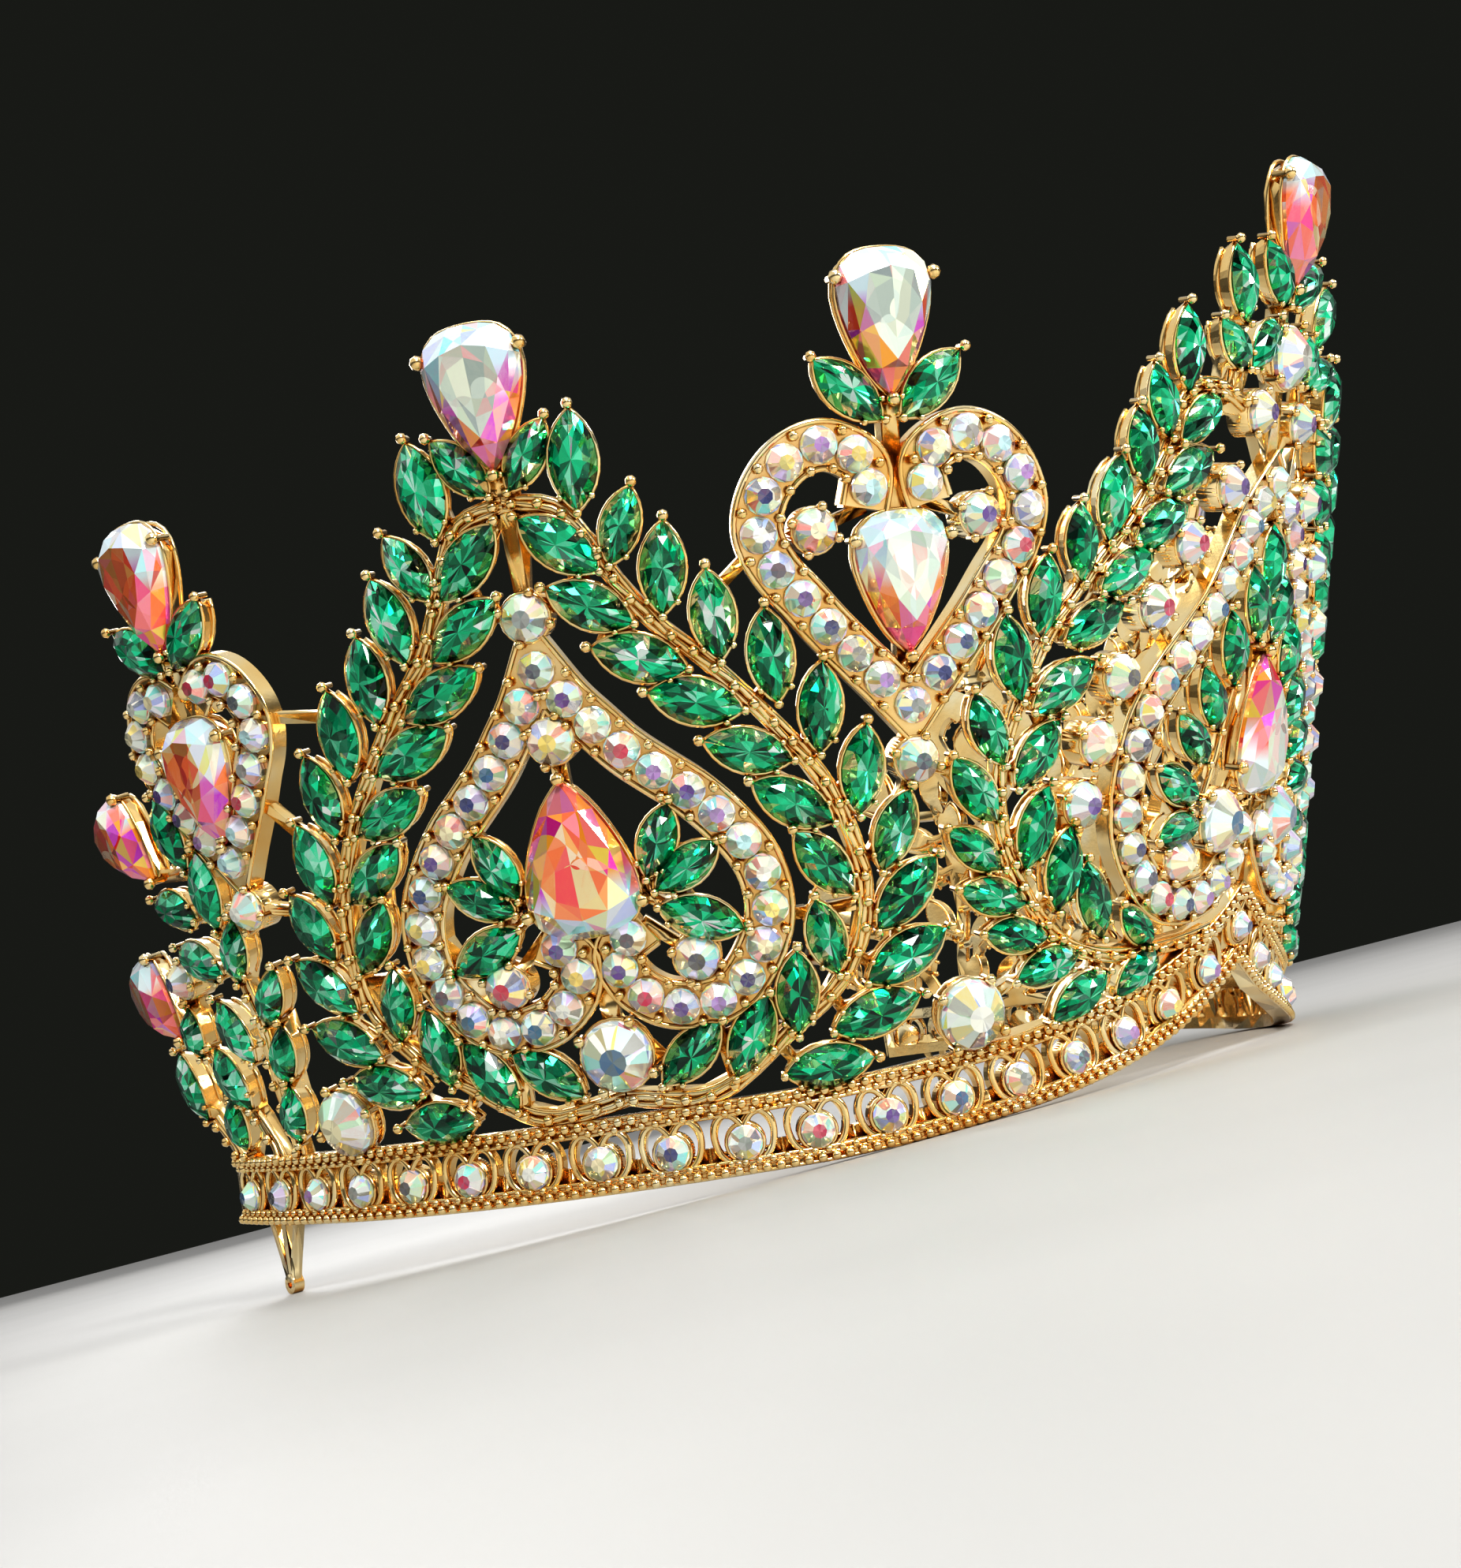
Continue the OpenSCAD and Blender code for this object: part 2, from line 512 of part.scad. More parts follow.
module rear_metal(s) {
    at = s * spray_at;
    paths = [for (p = rear_stems) places(p, at, spray_w, spray_h, s)];
    for (p = paths) stem(p);
    all = [for (p = paths) for (q = fill(p)) q];
    for (p = rear_all(s)) {
        leaf_cup(p);
        in = p[0] * 0.8 + p[1] * 0.2;
        bar(in, nearest(all, in));
    }
    for (p = pairs(rear_pears, at, spray_w, spray_h, s)) {
        d = step(p[0], p[1]);
        pear_cup((p[0].x + p[1].x) / 2, (p[0].y + p[1].y) / 2, atan2(d.y, d.x) - 90, rear_pear_l, rear_pear_l * 0.7);
        bar(p[0], nearest(all, p[0]), 2);
    }
    q = place([33, 55], at, spray_w, spray_h, s);
    round_cup(q.x, q.y, mid_bezel_r - 0.2);
    bar(q, nearest(all, q), 2);
}

// Bars that tie each panel to its neighbours where their leaves meet.
module ties(s) {
    heart = fill(heart_pts(s * heart_at, heart_w, heart_up, heart_h, -1, 1));
    heart_out = fill(heart_pts(s * heart_at, heart_w, heart_up, heart_h, 1, 1));
    both = concat(heart, heart_out);
    rear_heart = concat(fill(heart_pts(s * rear_heart_at, rear_heart_w, rear_heart_up, rear_heart_h, 1, 1)),
        fill(heart_pts(s * rear_heart_at, rear_heart_w, rear_heart_up, rear_heart_h, -1, 1)));
    fl = pairs(front_leaves, 0, front_w, front_h, s);
    sn = pairs(side_leaves, s * side_at, side_w, side_h, -s);
    sf = pairs(side_leaves, s * side_at, side_w, side_h, s);
    for (i = [8, 9]) bar(fl[i][0] * 0.3 + fl[i][1] * 0.7, nearest(both, fl[i][1]));
    for (i = [3, 5]) bar(sn[i][0] * 0.3 + sn[i][1] * 0.7, nearest(both, sn[i][1]));
    for (i = [4, 6]) bar(sf[i][0] * 0.3 + sf[i][1] * 0.7, nearest(rear_heart, sf[i][1]));
    low = [s * heart_at, heart_up - heart_drop];
    bar(low, sn[7][0] * 0.3 + sn[7][1] * 0.7);
    bar(low, fl[6][0] * 0.3 + fl[6][1] * 0.7);
    rear_low = [s * rear_heart_at, rear_heart_up - heart_drop];
    ra = rear_all(s);
    bar(rear_low, ra[4][0] * 0.3 + ra[4][1] * 0.7);
    bar(rear_low, sf[7][0] * 0.3 + sf[7][1] * 0.7);
    joint = [s * (heart_at - 5), 11.5];
    round_cup(joint.x, joint.y, round_r + 1.2 * rim);
    bar(joint, fl[2][0] * 0.3 + fl[2][1] * 0.7);
    rear_joint = [s * (side_at + side_w - 0.5), 9.6];
    round_cup(rear_joint.x, rear_joint.y, round_r + 1.2 * rim);
    bar(rear_joint, sf[10][0] * 0.3 + sf[10][1] * 0.7);
}

module frame() {
    color([0.83, 0.62, 0.26]) rested() {
        band();
        front_metal();
        for (s = [-1, 1]) {
            side_metal(s);
            heart_metal(s * heart_at, heart_w, heart_up, heart_h, 0);
            finial_metal(s * heart_at, 2);
            heart_metal(s * rear_heart_at, rear_heart_w, rear_heart_up, rear_heart_h, 1);
            finial_metal(s * rear_heart_at, 3);
            rear_metal(s);
            hair_loop(s);
            ties(s);
        }
    }
}

module leaves(list) {
    color([0.05, 0.5, 0.3]) rested() for (p = list) leaf_stone(p);
}

module leaves_front() {
    leaves(concat(front_all, front_inner, finial_leaves(0, 0)));
}

module leaves_of(s) {
    leaves(concat(side_all(s), side_inner(s), rear_all(s), finial_leaves(s * side_at, 1),
        finial_leaves(s * heart_at, 2), finial_leaves(s * rear_heart_at, 3)));
}

module leaves_near() {
    leaves_of(-1);
}

module leaves_far() {
    leaves_of(1);
}

module crystal() {
    color([0.85, 0.85, 0.9]) rested() children();
}

module front_top_pear() {
    crystal() pear_stone(0, finial_pear(finial_up[0]), 0, pear_l, pear_w);
}

module front_pear() {
    crystal() pear_stone(0, front_h * 0.41, 180, big_pear_l, front_pear_w);
}

module front_top_round() {
    crystal() round_stone(0, front_h * 0.87, round_r);
}

module front_round(m) {
    q = place([17, 29], 0, front_w, front_h, m);
    crystal() round_stone(q.x, q.y, round_r);
}

module heart_pear(s) {
    crystal() pear_stone(s * heart_at, heart_up + heart_h * 0.48, 0, pear_l, pear_w);
}

module heart_top_pear(s) {
    crystal() pear_stone(s * heart_at, finial_pear(finial_up[2]), 0, pear_l, pear_w);
}

module side_pear(s) {
    crystal() pear_stone(s * side_at, side_h * 0.423, 180, big_pear_l, side_pear_w);
}

module side_top_pear(s) {
    crystal() pear_stone(s * side_at, finial_pear(finial_up[1]), 0, pear_l, pear_w);
}

module side_round(s) {
    crystal() round_stone(s * side_at, side_h * 0.148, round_r);
}

module rear_heart_pear(s) {
    crystal() pear_stone(s * rear_heart_at, rear_heart_up + rear_heart_h * 0.48, 0, pear_l, pear_w);
}

module rear_heart_top_pear(s) {
    crystal() pear_stone(s * rear_heart_at, finial_pear(finial_up[3]), 0, pear_l, pear_w);
}

module rear_pear(s, i) {
    p = pairs(rear_pears, s * spray_at, spray_w, spray_h, s)[i];
    d = step(p[0], p[1]);
    crystal() pear_stone((p[0].x + p[1].x) / 2, (p[0].y + p[1].y) / 2, atan2(d.y, d.x) - 90,
        rear_pear_l, rear_pear_l * 0.7);
}

module joint_round(s) {
    crystal() round_stone(s * (heart_at - 5), 11.5, round_r);
}

module rear_joint_round(s) {
    crystal() round_stone(s * (side_at + side_w - 0.5), 9.6, round_r);
}

frame();
leaves_front();
leaves_near();
leaves_far();
front_top_pear();
front_pear();
front_top_round();
front_round(-1);  // front_round_near
front_round(1);  // front_round_far
heart_pear(-1);  // heart_pear_near
heart_pear(1);  // heart_pear_far
heart_top_pear(-1);  // heart_top_pear_near
heart_top_pear(1);  // heart_top_pear_far
side_pear(-1);  // side_pear_near
side_pear(1);  // side_pear_far
side_top_pear(-1);  // side_top_pear_near
side_top_pear(1);  // side_top_pear_far
side_round(-1);  // side_round_near
side_round(1);  // side_round_far
rear_heart_pear(-1);  // rear_heart_pear_near
rear_heart_pear(1);  // rear_heart_pear_far
rear_heart_top_pear(-1);  // rear_heart_top_pear_near
rear_heart_top_pear(1);  // rear_heart_top_pear_far
rear_pear(-1, 0);  // rear_upper_pear_near
rear_pear(1, 0);  // rear_upper_pear_far
rear_pear(-1, 1);  // rear_lower_pear_near
rear_pear(1, 1);  // rear_lower_pear_far
joint_round(-1);  // joint_round_near
joint_round(1);  // joint_round_far
rear_joint_round(-1);  // rear_joint_round_near
rear_joint_round(1);  // rear_joint_round_far
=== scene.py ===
"""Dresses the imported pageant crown: the gold gets its wires, beads and claws, and every stone its cut.

Places on the crown are given on its wall: across is arc length to the viewer's right of the front,
up is height over the band line, out is depth in front of the stone line. These are in millimetres.
"""

import json
import math
import random

import bmesh
import bpy
import numpy as np
from mathutils import Matrix, Vector


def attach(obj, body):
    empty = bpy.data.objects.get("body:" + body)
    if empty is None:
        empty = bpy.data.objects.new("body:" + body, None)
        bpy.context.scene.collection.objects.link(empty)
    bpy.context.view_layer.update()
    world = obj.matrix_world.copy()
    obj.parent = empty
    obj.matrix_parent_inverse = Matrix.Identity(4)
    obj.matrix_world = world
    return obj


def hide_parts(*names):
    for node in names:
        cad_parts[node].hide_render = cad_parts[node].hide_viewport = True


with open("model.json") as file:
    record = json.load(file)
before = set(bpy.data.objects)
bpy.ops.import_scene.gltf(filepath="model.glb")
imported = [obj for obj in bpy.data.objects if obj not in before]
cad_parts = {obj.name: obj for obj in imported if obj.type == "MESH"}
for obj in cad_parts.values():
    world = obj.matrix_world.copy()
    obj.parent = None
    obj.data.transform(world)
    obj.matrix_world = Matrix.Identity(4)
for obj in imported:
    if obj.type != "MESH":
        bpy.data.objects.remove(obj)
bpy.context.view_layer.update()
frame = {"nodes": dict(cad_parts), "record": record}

MM = 0.001

# The wall leans outward from just over the band, by so much for each millimetre up.
CROWN_R = 93.0
LEAN_FRONT, LEAN_REAR, LEAN_FROM, LEAN_REACH = 0.28, 0.22, 7.0, 148.0

# The band, its rails and its peak at the front.
BAND_END = CROWN_R * math.radians(108)
BAND_MID, BAND_H, RAIL_W = 0.9, 9.8, 2.2
RAIL_OFF = (BAND_H - RAIL_W) / 2
PEAK_H, PEAK_REACH, PEAK_TAIL = 16.3, 26.0, 1.0
PEAK_END = PEAK_REACH * math.log((PEAK_H + PEAK_TAIL) / PEAK_TAIL)
RINGS = 37

# Where each panel stands, its half width, and its height or its foot and height.
FRONT_W, FRONT_H = 55.0, 110.0
SIDE_AT, SIDE_W, SIDE_H = 99.5, 43.0, 92.0
HEART_AT, HEART_W, HEART_UP, HEART_H = 58.5, 15.3, 50.7, 33.0
REAR_HEART_AT, REAR_HEART_W, REAR_HEART_UP, REAR_HEART_H = 148.0, 11.2, 46.5, 25.0
SPRAY_AT, SPRAY_W, SPRAY_H = 163.0, 22.0, 60.0
FINIAL_GAP = 1.5

# The strips' plates, and their stones: pitch, margins before the first and after the last, and which
# end meets the strip of the panel's other half.
PLATE_W, PLATE_D, PLATE_FACE, EDGE_IN = 6.2, 2.65, 0.03, 0.22
STONE_PITCH = 4.75
ARCH_ENDS, HEART_ENDS = (1.0, 2.6, 0), (2.6, 1.1, -1)

# Small stones that no CAD node holds: width, length and height.
STRIP_STONE, BAND_STONE = (4.75, 4.75, 2.0), (4.5, 4.5, 2.0)
MIDDLE_HIGH = 2.6

# The cut of a loose stone is so much wider and longer than the CAD stone, and so high.
LEAF_CUT, DROP_CUT, ROUND_CUT = (0.5, 0.7, 2.1), (0.8, 0.9, 3.6), (0.7, 0.7, 3.2)

# Cups: the rim wire and the foot wire as count, gap and depth, and the foot's size and squareness.
LEAF_CUP = (20, 0.42, 0.0), (16, -0.1, -2.2), (0.72, 2)
DROP_CUP = (36, 0.5, -0.1), (28, 0.05, -2.2), (0.85, 8)
ROUND_CUP = (24, 0.45, -0.1), (20, 0.05, -2.2), (0.82, 2)

# The CAD cups end flat at this depth. Their feet are drawn in and lifted, so that they taper.
CUP_FOOT, CUP_SIDE, CUP_TIP, CUP_LIFT = (-3.6, -2.9), 0.9, 1.1, 0.4

# The band's trim: heights of the wires behind and on each rail, and the rim of a band stone.
BACK_WIRES, RAIL_WIRES = (-3.3, -2.6, -1.9), (-0.82, 0.1, 0.82)
BAND_RIM_R, BAND_STONE_DOWN = 2.45, 0.8

# A stem: half the gap of its two wires, and the reach and turn of the wrap round them.
STEM_GAP, WRAP_REACH, WRAP_RISE, WRAP_TURN = 0.66, 0.32, 0.12, 0.8

head_seat = [m for m in frame["record"]["mounts"] if m["name"] == "head_seat"][0]
TILT = math.atan2(head_seat["axis"][1], -head_seat["axis"][2])
REST = Matrix.Translation(head_seat["pos_m"]) @ Matrix.Rotation(TILT, 4, "X") @ Matrix.Scale(MM, 4)

# Paths that the metal follows, in percent of each panel's half width and height: across, up.
SIDE_STEM = [
    (0, 8.5), (12, 7.5), (24, 7), (36, 9), (51, 14), (65, 18.5), (75, 25), (78, 31.5), (76.5, 38),
    (72, 45), (64, 52), (53.5, 59), (42, 66), (31.5, 71.5), (24, 77.5), (19, 83), (12, 88.5), (0, 90)]
SIDE_STRIP = [
    (0, 69), (6, 63.5), (12, 59.5), (18.5, 55.5), (26, 52), (34, 48.5), (41, 44.5), (47, 40),
    (50, 35.5), (50, 30.5), (46, 26), (38, 21.5), (28, 20), (16.5, 21), (8, 24.5), (6, 29), (15, 32)]
FRONT_FAN = [(0, 56), (7, 50), (13, 44), (17, 38), (20.5, 34), (24, 30)]
FRONT_STEM = [
    (12, 15.5), (26, 14.5), (42, 14), (58.5, 14.5), (71, 17), (79.5, 22), (84.5, 27.5), (87, 33.5),
    (86, 39), (82, 45), (76.5, 50.5), (70, 55.5), (62, 60), (54, 64.5), (46.5, 69.5), (41, 75),
    (37, 80.5), (26, 82), (14, 80)]
FRONT_STRIP = [
    (0, 72), (9.5, 67), (15.5, 62), (22, 56.5), (30, 52), (39, 47.5), (46, 43), (50, 38), (52, 33),
    (51.5, 28.5), (48, 24.5), (42, 21), (35, 19.5), (27, 19.5), (19, 20.5), (12, 23.5), (7, 26.5),
    (4.5, 30)]
FRONT_MIDDLES = [
    (20.5, 70), (34, 63), (44.5, 55.5), (54.5, 47.5), (61, 40), (65.5, 33), (33.5, 24.8), (10.5, 79.5)]
HEART_STRIP = [
    (24, 76), (20, 91), (46, 100), (72, 97), (92, 86), (100, 72), (91, 58), (74, 46), (57, 34),
    (39, 23), (20, 12), (0, 0)]
REAR_STEMS = [
    [(-38, 7), (-36, 25), (-40, 42), (-33, 58), (-26, 74), (-18, 80)],
    [(-16, 7), (0, 18), (20, 27), (36, 33), (52, 38), (70, 40)],
    [(34, 6), (56, 12), (76, 19)]]

# One side of the wire heart round a band stone, in millimetres.
HEART_LOOP = [
    (0, -3.6), (1.9, -3.2), (3.3, -1.9), (3.85, 0.1), (3.6, 1.9), (2.6, 2.9), (1.4, 2.8), (0.5, 1.9),
    (0.1, 1.1)]

# One side of a drop stone from its point to its round end, in percent of its size.
PEAR_SIDE = [
    (0, -50), (9.5, -44), (20, -34.5), (29, -23.5), (37, -11), (43.5, 1), (48.2, 12.5), (50, 22.5),
    (48.5, 32), (43, 40), (34.5, 45.5), (24, 48.7), (12, 49.8), (0, 50)]

# Width of a leaf stone for its length.
LEAF_RATIO = 0.47

# Tones of the metal and the stones: place on the palette and colour.
GOLDS = [(0.3, (0.92, 0.58, 0.19)), (0.5, (1.0, 0.74, 0.33)), (0.7, (1.0, 0.87, 0.54))]
# The greens hold the glass's own green and also painted inner reflections: near-black shards and mint to
# near-white flashes.
GREENS_WITH_PAINTED_GLINTS = [
    (0.18, (0.0, 0.012, 0.006)), (0.32, (0.0, 0.09, 0.038)), (0.44, (0.0, 0.32, 0.13)),
    (0.58, (0.0, 0.6, 0.26)), (0.71, (0.03, 0.86, 0.43)), (0.82, (0.5, 1.0, 0.78)),
    (0.9, (0.96, 1.0, 0.97))]
PETALS = [
    (0.0, (0.95, 0.97, 0.92)), (0.1, (0.25, 0.82, 0.74)), (0.19, (0.93, 0.97, 0.92)),
    (0.28, (0.5, 0.82, 0.5)), (0.37, (0.97, 0.88, 0.66)), (0.46, (0.92, 0.3, 0.26)),
    (0.54, (0.97, 0.92, 0.84)), (0.62, (0.93, 0.76, 0.12)), (0.7, (0.93, 0.95, 0.9)),
    (0.78, (0.24, 0.23, 0.18)), (0.86, (0.4, 0.5, 0.96)), (0.93, (0.93, 0.95, 0.98)),
    (1.0, (0.72, 0.5, 0.86))]
HEARTS = [
    (0.0, (0.01, 0.02, 0.14)), (0.09, (0.9, 0.82, 0.5)), (0.19, (0.12, 0.04, 0.25)),
    (0.28, (0.3, 0.3, 0.28)), (0.39, (0.85, 0.64, 0.14)), (0.48, (0.02, 0.12, 0.25)),
    (0.57, (0.92, 0.92, 0.8)), (0.68, (0.55, 0.02, 0.07)), (0.76, (0.07, 0.07, 0.09)),
    (0.85, (0.5, 0.78, 0.78)), (0.93, (0.4, 0.2, 0.5))]
WARM_TABLE = [
    (0.0, (0.9, 0.06, 0.03)), (0.16, (0.97, 0.32, 0.05)), (0.3, (0.9, 0.05, 0.05)),
    (0.42, (0.8, 0.36, 0.1)), (0.54, (0.95, 0.16, 0.05)), (0.66, (0.98, 0.5, 0.14)),
    (0.78, (0.88, 0.06, 0.08)), (0.9, (0.98, 0.8, 0.56)), (1.0, (0.8, 0.66, 0.24))]
PALE_TABLE = [
    (0.0, (0.66, 0.84, 0.64)), (0.2, (0.84, 0.9, 0.7)), (0.36, (0.56, 0.68, 0.6)),
    (0.5, (0.86, 0.92, 0.8)), (0.6, (0.95, 0.48, 0.46)), (0.7, (0.8, 0.88, 0.7)),
    (0.84, (0.36, 0.42, 0.42)), (1.0, (0.74, 0.9, 0.76))]
POINTS = [
    (0.0, (0.92, 0.02, 0.03)), (0.2, (1.0, 0.42, 0.02)), (0.38, (0.92, 0.01, 0.36)),
    (0.55, (1.0, 0.74, 0.08)), (0.7, (0.62, 0.02, 0.68)), (0.85, (1.0, 0.32, 0.42)),
    (1.0, (0.95, 0.14, 0.03))]
EDGES = [
    (0.0, (0.93, 0.96, 0.95)), (0.12, (0.25, 0.78, 0.82)), (0.22, (0.95, 0.97, 0.97)),
    (0.34, (0.4, 0.48, 0.95)), (0.44, (0.93, 0.96, 0.95)), (0.54, (0.75, 0.78, 0.12)),
    (0.62, (0.94, 0.96, 0.92)), (0.74, (0.6, 0.85, 0.95)), (0.84, (0.93, 0.94, 0.93)),
    (0.92, (0.9, 0.4, 0.55)), (1.0, (0.5, 0.88, 0.85))]

# Chance colour of the round stones by the start of their node's name, and the drops with warm tables.
ROUND_HUES = {
    "side_round": 0.5, "front_round": 0.49, "front_top": 0.6, "joint": 0.62, "rear_joint": 0.12}
WARM_DROPS = ("side_pear", "rear_heart", "rear_upper", "rear_lower", "front_top")

# How far chance colour moves on from one facet, drop or round stone to the next.
FACET_STEP, DROP_STEP, ROUND_STEP = 0.618034, 0.618, 0.0007

BLACK, WHITE = (0.0, 0.0, 0.0), (1.0, 1.0, 1.0)


# The wall

def lean(across):
    return LEAN_FRONT + (LEAN_REAR - LEAN_FRONT) * min(abs(across) / LEAN_REACH, 1)


def wall_r(across, up):
    return CROWN_R + lean(across) * max(up - LEAN_FROM, 0)


def tip_angle(across, up):
    return math.atan(lean(across)) if up > LEAN_FROM else 0.0


def wall_seat(across, up, out=0.0, turn=0.0):
    """Turned place on the wall: X along the wall, Y up it, Z out of it, in millimetres."""
    tip = tip_angle(across, up)
    seat = Matrix.Rotation(across / CROWN_R, 4, "Z") @ Matrix.Translation((0, -wall_r(across, up), up))
    seat = REST @ seat @ Matrix.Rotation(math.pi / 2 + tip, 4, "X")
    return seat @ Matrix.Rotation(turn, 4, "Z") @ Matrix.Translation((0, 0, out))


def on_wall(across, up, out=0.0):
    return wall_seat(across, up, out).translation


def true_seat(across, up, turn=0.0):
    """Turned place on the wall in metres, as the seats of the CAD stones are."""
    return wall_seat(across, up, 0, turn) @ Matrix.Scale(1 / MM, 4)


def wall_step(a, b):
    """Real step on the wall between two places, in millimetres."""
    across, up = (a[0] + b[0]) / 2, (a[1] + b[1]) / 2
    along = (b[0] - a[0]) * wall_r(across, up) / CROWN_R
    return Vector((along, (b[1] - a[1]) / math.cos(tip_angle(across, up))))


def rise(across):
    return max((PEAK_H + PEAK_TAIL) * math.exp(-abs(across) / PEAK_REACH) - PEAK_TAIL, 0)


def slope(across):
    return math.atan((rise(across) + PEAK_TAIL) / PEAK_REACH) if abs(across) < PEAK_END else 0.0


def in_panel(rows, at, half, high, side, base=0.0):
    return [(at + side * x * half / 100, base + y * high / 100) for x, y in rows]


def eased(path, parts=4):
    """The same path with rounded corners, through its own points."""
    got = []
    for i in range(len(path) - 1):
        p = [Vector(path[min(max(i + k, 0), len(path) - 1)]) for k in (-1, 0, 1, 2)]
        for j in range(parts):
            t = j / parts
            got.append(0.5 * (2 * p[1] + (p[2] - p[0]) * t
                              + (2 * p[0] - 5 * p[1] + 4 * p[2] - p[3]) * t * t
                              + (3 * p[1] - p[0] - 3 * p[2] + p[3]) * t ** 3))
    return got + [Vector(path[-1])]


def beside(path, off):
    """Path that runs at a distance to the left of another on the wall."""
    got = []
    for i, p in enumerate(path):
        d = wall_step(path[max(i - 1, 0)], path[min(i + 1, len(path) - 1)]).normalized()
        across = -d.y * off * CROWN_R / wall_r(p[0], p[1])
        got.append((p[0] + across, p[1] + d.x * off * math.cos(tip_angle(p[0], p[1]))))
    return got


def walk(path, pitch, start, end):
    """Even places along a path as across, up and direction, with a margin at each end."""
    steps = [wall_step(path[i], path[i + 1]).length for i in range(len(path) - 1)]
    run = np.concatenate([[0], np.cumsum(steps)])
    length = run[-1] - start - end
    count = max(round(length / pitch), 1)
    got = []
    for s in start + np.arange(count + 1) * length / count:
        i = min(int(np.searchsorted(run, s, "right")) - 1, len(steps) - 1)
        t = (s - run[i]) / steps[i]
        a, b = Vector(path[i]), Vector(path[i + 1])
        d = wall_step(a, b)
        p = a + (b - a) * t
        got.append((p.x, p.y, math.atan2(d.y, d.x)))
    return got


# Geometry Nodes that repeat the small parts

def add_object(name, data):
    item = bpy.data.objects.new(name, data)
    bpy.context.scene.collection.objects.link(item)
    return item


def new_tree(name, inputs):
    tree = bpy.data.node_groups.new(name, "GeometryNodeTree")
    tree.interface.new_socket("Geometry", in_out="INPUT", socket_type="NodeSocketGeometry")
    for label, kind in inputs:
        tree.interface.new_socket(label, in_out="INPUT", socket_type=kind)
    tree.interface.new_socket("Geometry", in_out="OUTPUT", socket_type="NodeSocketGeometry")
    start, end = tree.nodes.new("NodeGroupInput"), tree.nodes.new("NodeGroupOutput")
    return tree, start, end


def finish_tree(tree, start, end, shape, smooth):
    """Realizes the instances, sets how they shade and gives them their finish."""
    realize = tree.nodes.new("GeometryNodeRealizeInstances")
    shade = tree.nodes.new("GeometryNodeSetShadeSmooth")
    shade.inputs["Shade Smooth"].default_value = smooth
    finish = tree.nodes.new("GeometryNodeSetMaterial")
    tree.links.new(shape, realize.inputs["Geometry"])
    tree.links.new(realize.outputs["Geometry"], shade.inputs["Geometry"])
    tree.links.new(shade.outputs["Geometry"], finish.inputs["Geometry"])
    tree.links.new(start.outputs["Finish"], finish.inputs["Material"])
    tree.links.new(finish.outputs["Geometry"], end.inputs["Geometry"])


def round_wire_tree():
    tree, start, end = new_tree("round_wire", [
        ("Wire radius", "NodeSocketFloat"), ("Sides", "NodeSocketInt"), ("Finish", "NodeSocketMaterial")])
    path = tree.nodes.new("GeometryNodeMeshToCurve")
    section = tree.nodes.new("GeometryNodeCurvePrimitiveCircle")
    wire = tree.nodes.new("GeometryNodeCurveToMesh")
    wire.inputs["Fill Caps"].default_value = True
    tree.links.new(start.outputs["Geometry"], path.inputs["Mesh"])
    tree.links.new(start.outputs["Sides"], section.inputs["Resolution"])
    tree.links.new(start.outputs["Wire radius"], section.inputs["Radius"])
    tree.links.new(path.outputs["Curve"], wire.inputs["Curve"])
    tree.links.new(section.outputs["Curve"], wire.inputs["Profile Curve"])
    finish_tree(tree, start, end, wire.outputs["Mesh"], True)
    return tree


def bead_row_tree():
    tree, start, end = new_tree("bead_row", [
        ("Pitch", "NodeSocketFloat"), ("Bead size", "NodeSocketFloat"), ("Bead", "NodeSocketObject"),
        ("Finish", "NodeSocketMaterial")])
    path = tree.nodes.new("GeometryNodeMeshToCurve")
    even = tree.nodes.new("GeometryNodeResampleCurve")
    even.mode = "LENGTH"
    bead = tree.nodes.new("GeometryNodeObjectInfo")
    row = tree.nodes.new("GeometryNodeInstanceOnPoints")
    tree.links.new(start.outputs["Geometry"], path.inputs["Mesh"])
    tree.links.new(path.outputs["Curve"], even.inputs["Curve"])
    tree.links.new(start.outputs["Pitch"], even.inputs["Length"])
    tree.links.new(start.outputs["Bead"], bead.inputs["Object"])
    tree.links.new(even.outputs["Curve"], row.inputs["Points"])
    tree.links.new(bead.outputs["Geometry"], row.inputs["Instance"])
    tree.links.new(start.outputs["Bead size"], row.inputs["Scale"])
    finish_tree(tree, start, end, row.outputs["Instances"], True)
    return tree


def set_pieces_tree(smooth):
    tree, start, end = new_tree("set_claws" if smooth else "set_stones", [
        ("Piece", "NodeSocketObject"), ("Finish", "NodeSocketMaterial")])
    piece = tree.nodes.new("GeometryNodeObjectInfo")
    facing = tree.nodes.new("GeometryNodeInputNamedAttribute")
    facing.data_type = "QUATERNION"
    facing.inputs["Name"].default_value = "facing"
    size = tree.nodes.new("GeometryNodeInputNamedAttribute")
    size.data_type = "FLOAT_VECTOR"
    size.inputs["Name"].default_value = "size"
    place = tree.nodes.new("GeometryNodeInstanceOnPoints")
    tree.links.new(start.outputs["Piece"], piece.inputs["Object"])
    tree.links.new(start.outputs["Geometry"], place.inputs["Points"])
    tree.links.new(piece.outputs["Geometry"], place.inputs["Instance"])
    tree.links.new(facing.outputs["Attribute"], place.inputs["Rotation"])
    tree.links.new(size.outputs["Attribute"], place.inputs["Scale"])
    finish_tree(tree, start, end, place.outputs["Instances"], smooth)
    return tree


def grow(name, mesh, tree, values):
    """Runs a tree on a mesh of paths or places and keeps the result as a plain piece of the crown."""
    piece = add_object(name, mesh)
    change = piece.modifiers.new("grow", "NODES")
    change.node_group = tree
    for item in tree.interface.items_tree:
        if item.item_type == "SOCKET" and item.in_out == "INPUT" and item.name in values:
            change[item.identifier] = values[item.name]
    bpy.context.view_layer.update()
    ready = piece.evaluated_get(bpy.context.evaluated_depsgraph_get())
    plain = bpy.data.meshes.new_from_object(ready)
    piece.modifiers.remove(change)
    piece.data = plain
    plain.name = name
    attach(piece, "root")
    return piece


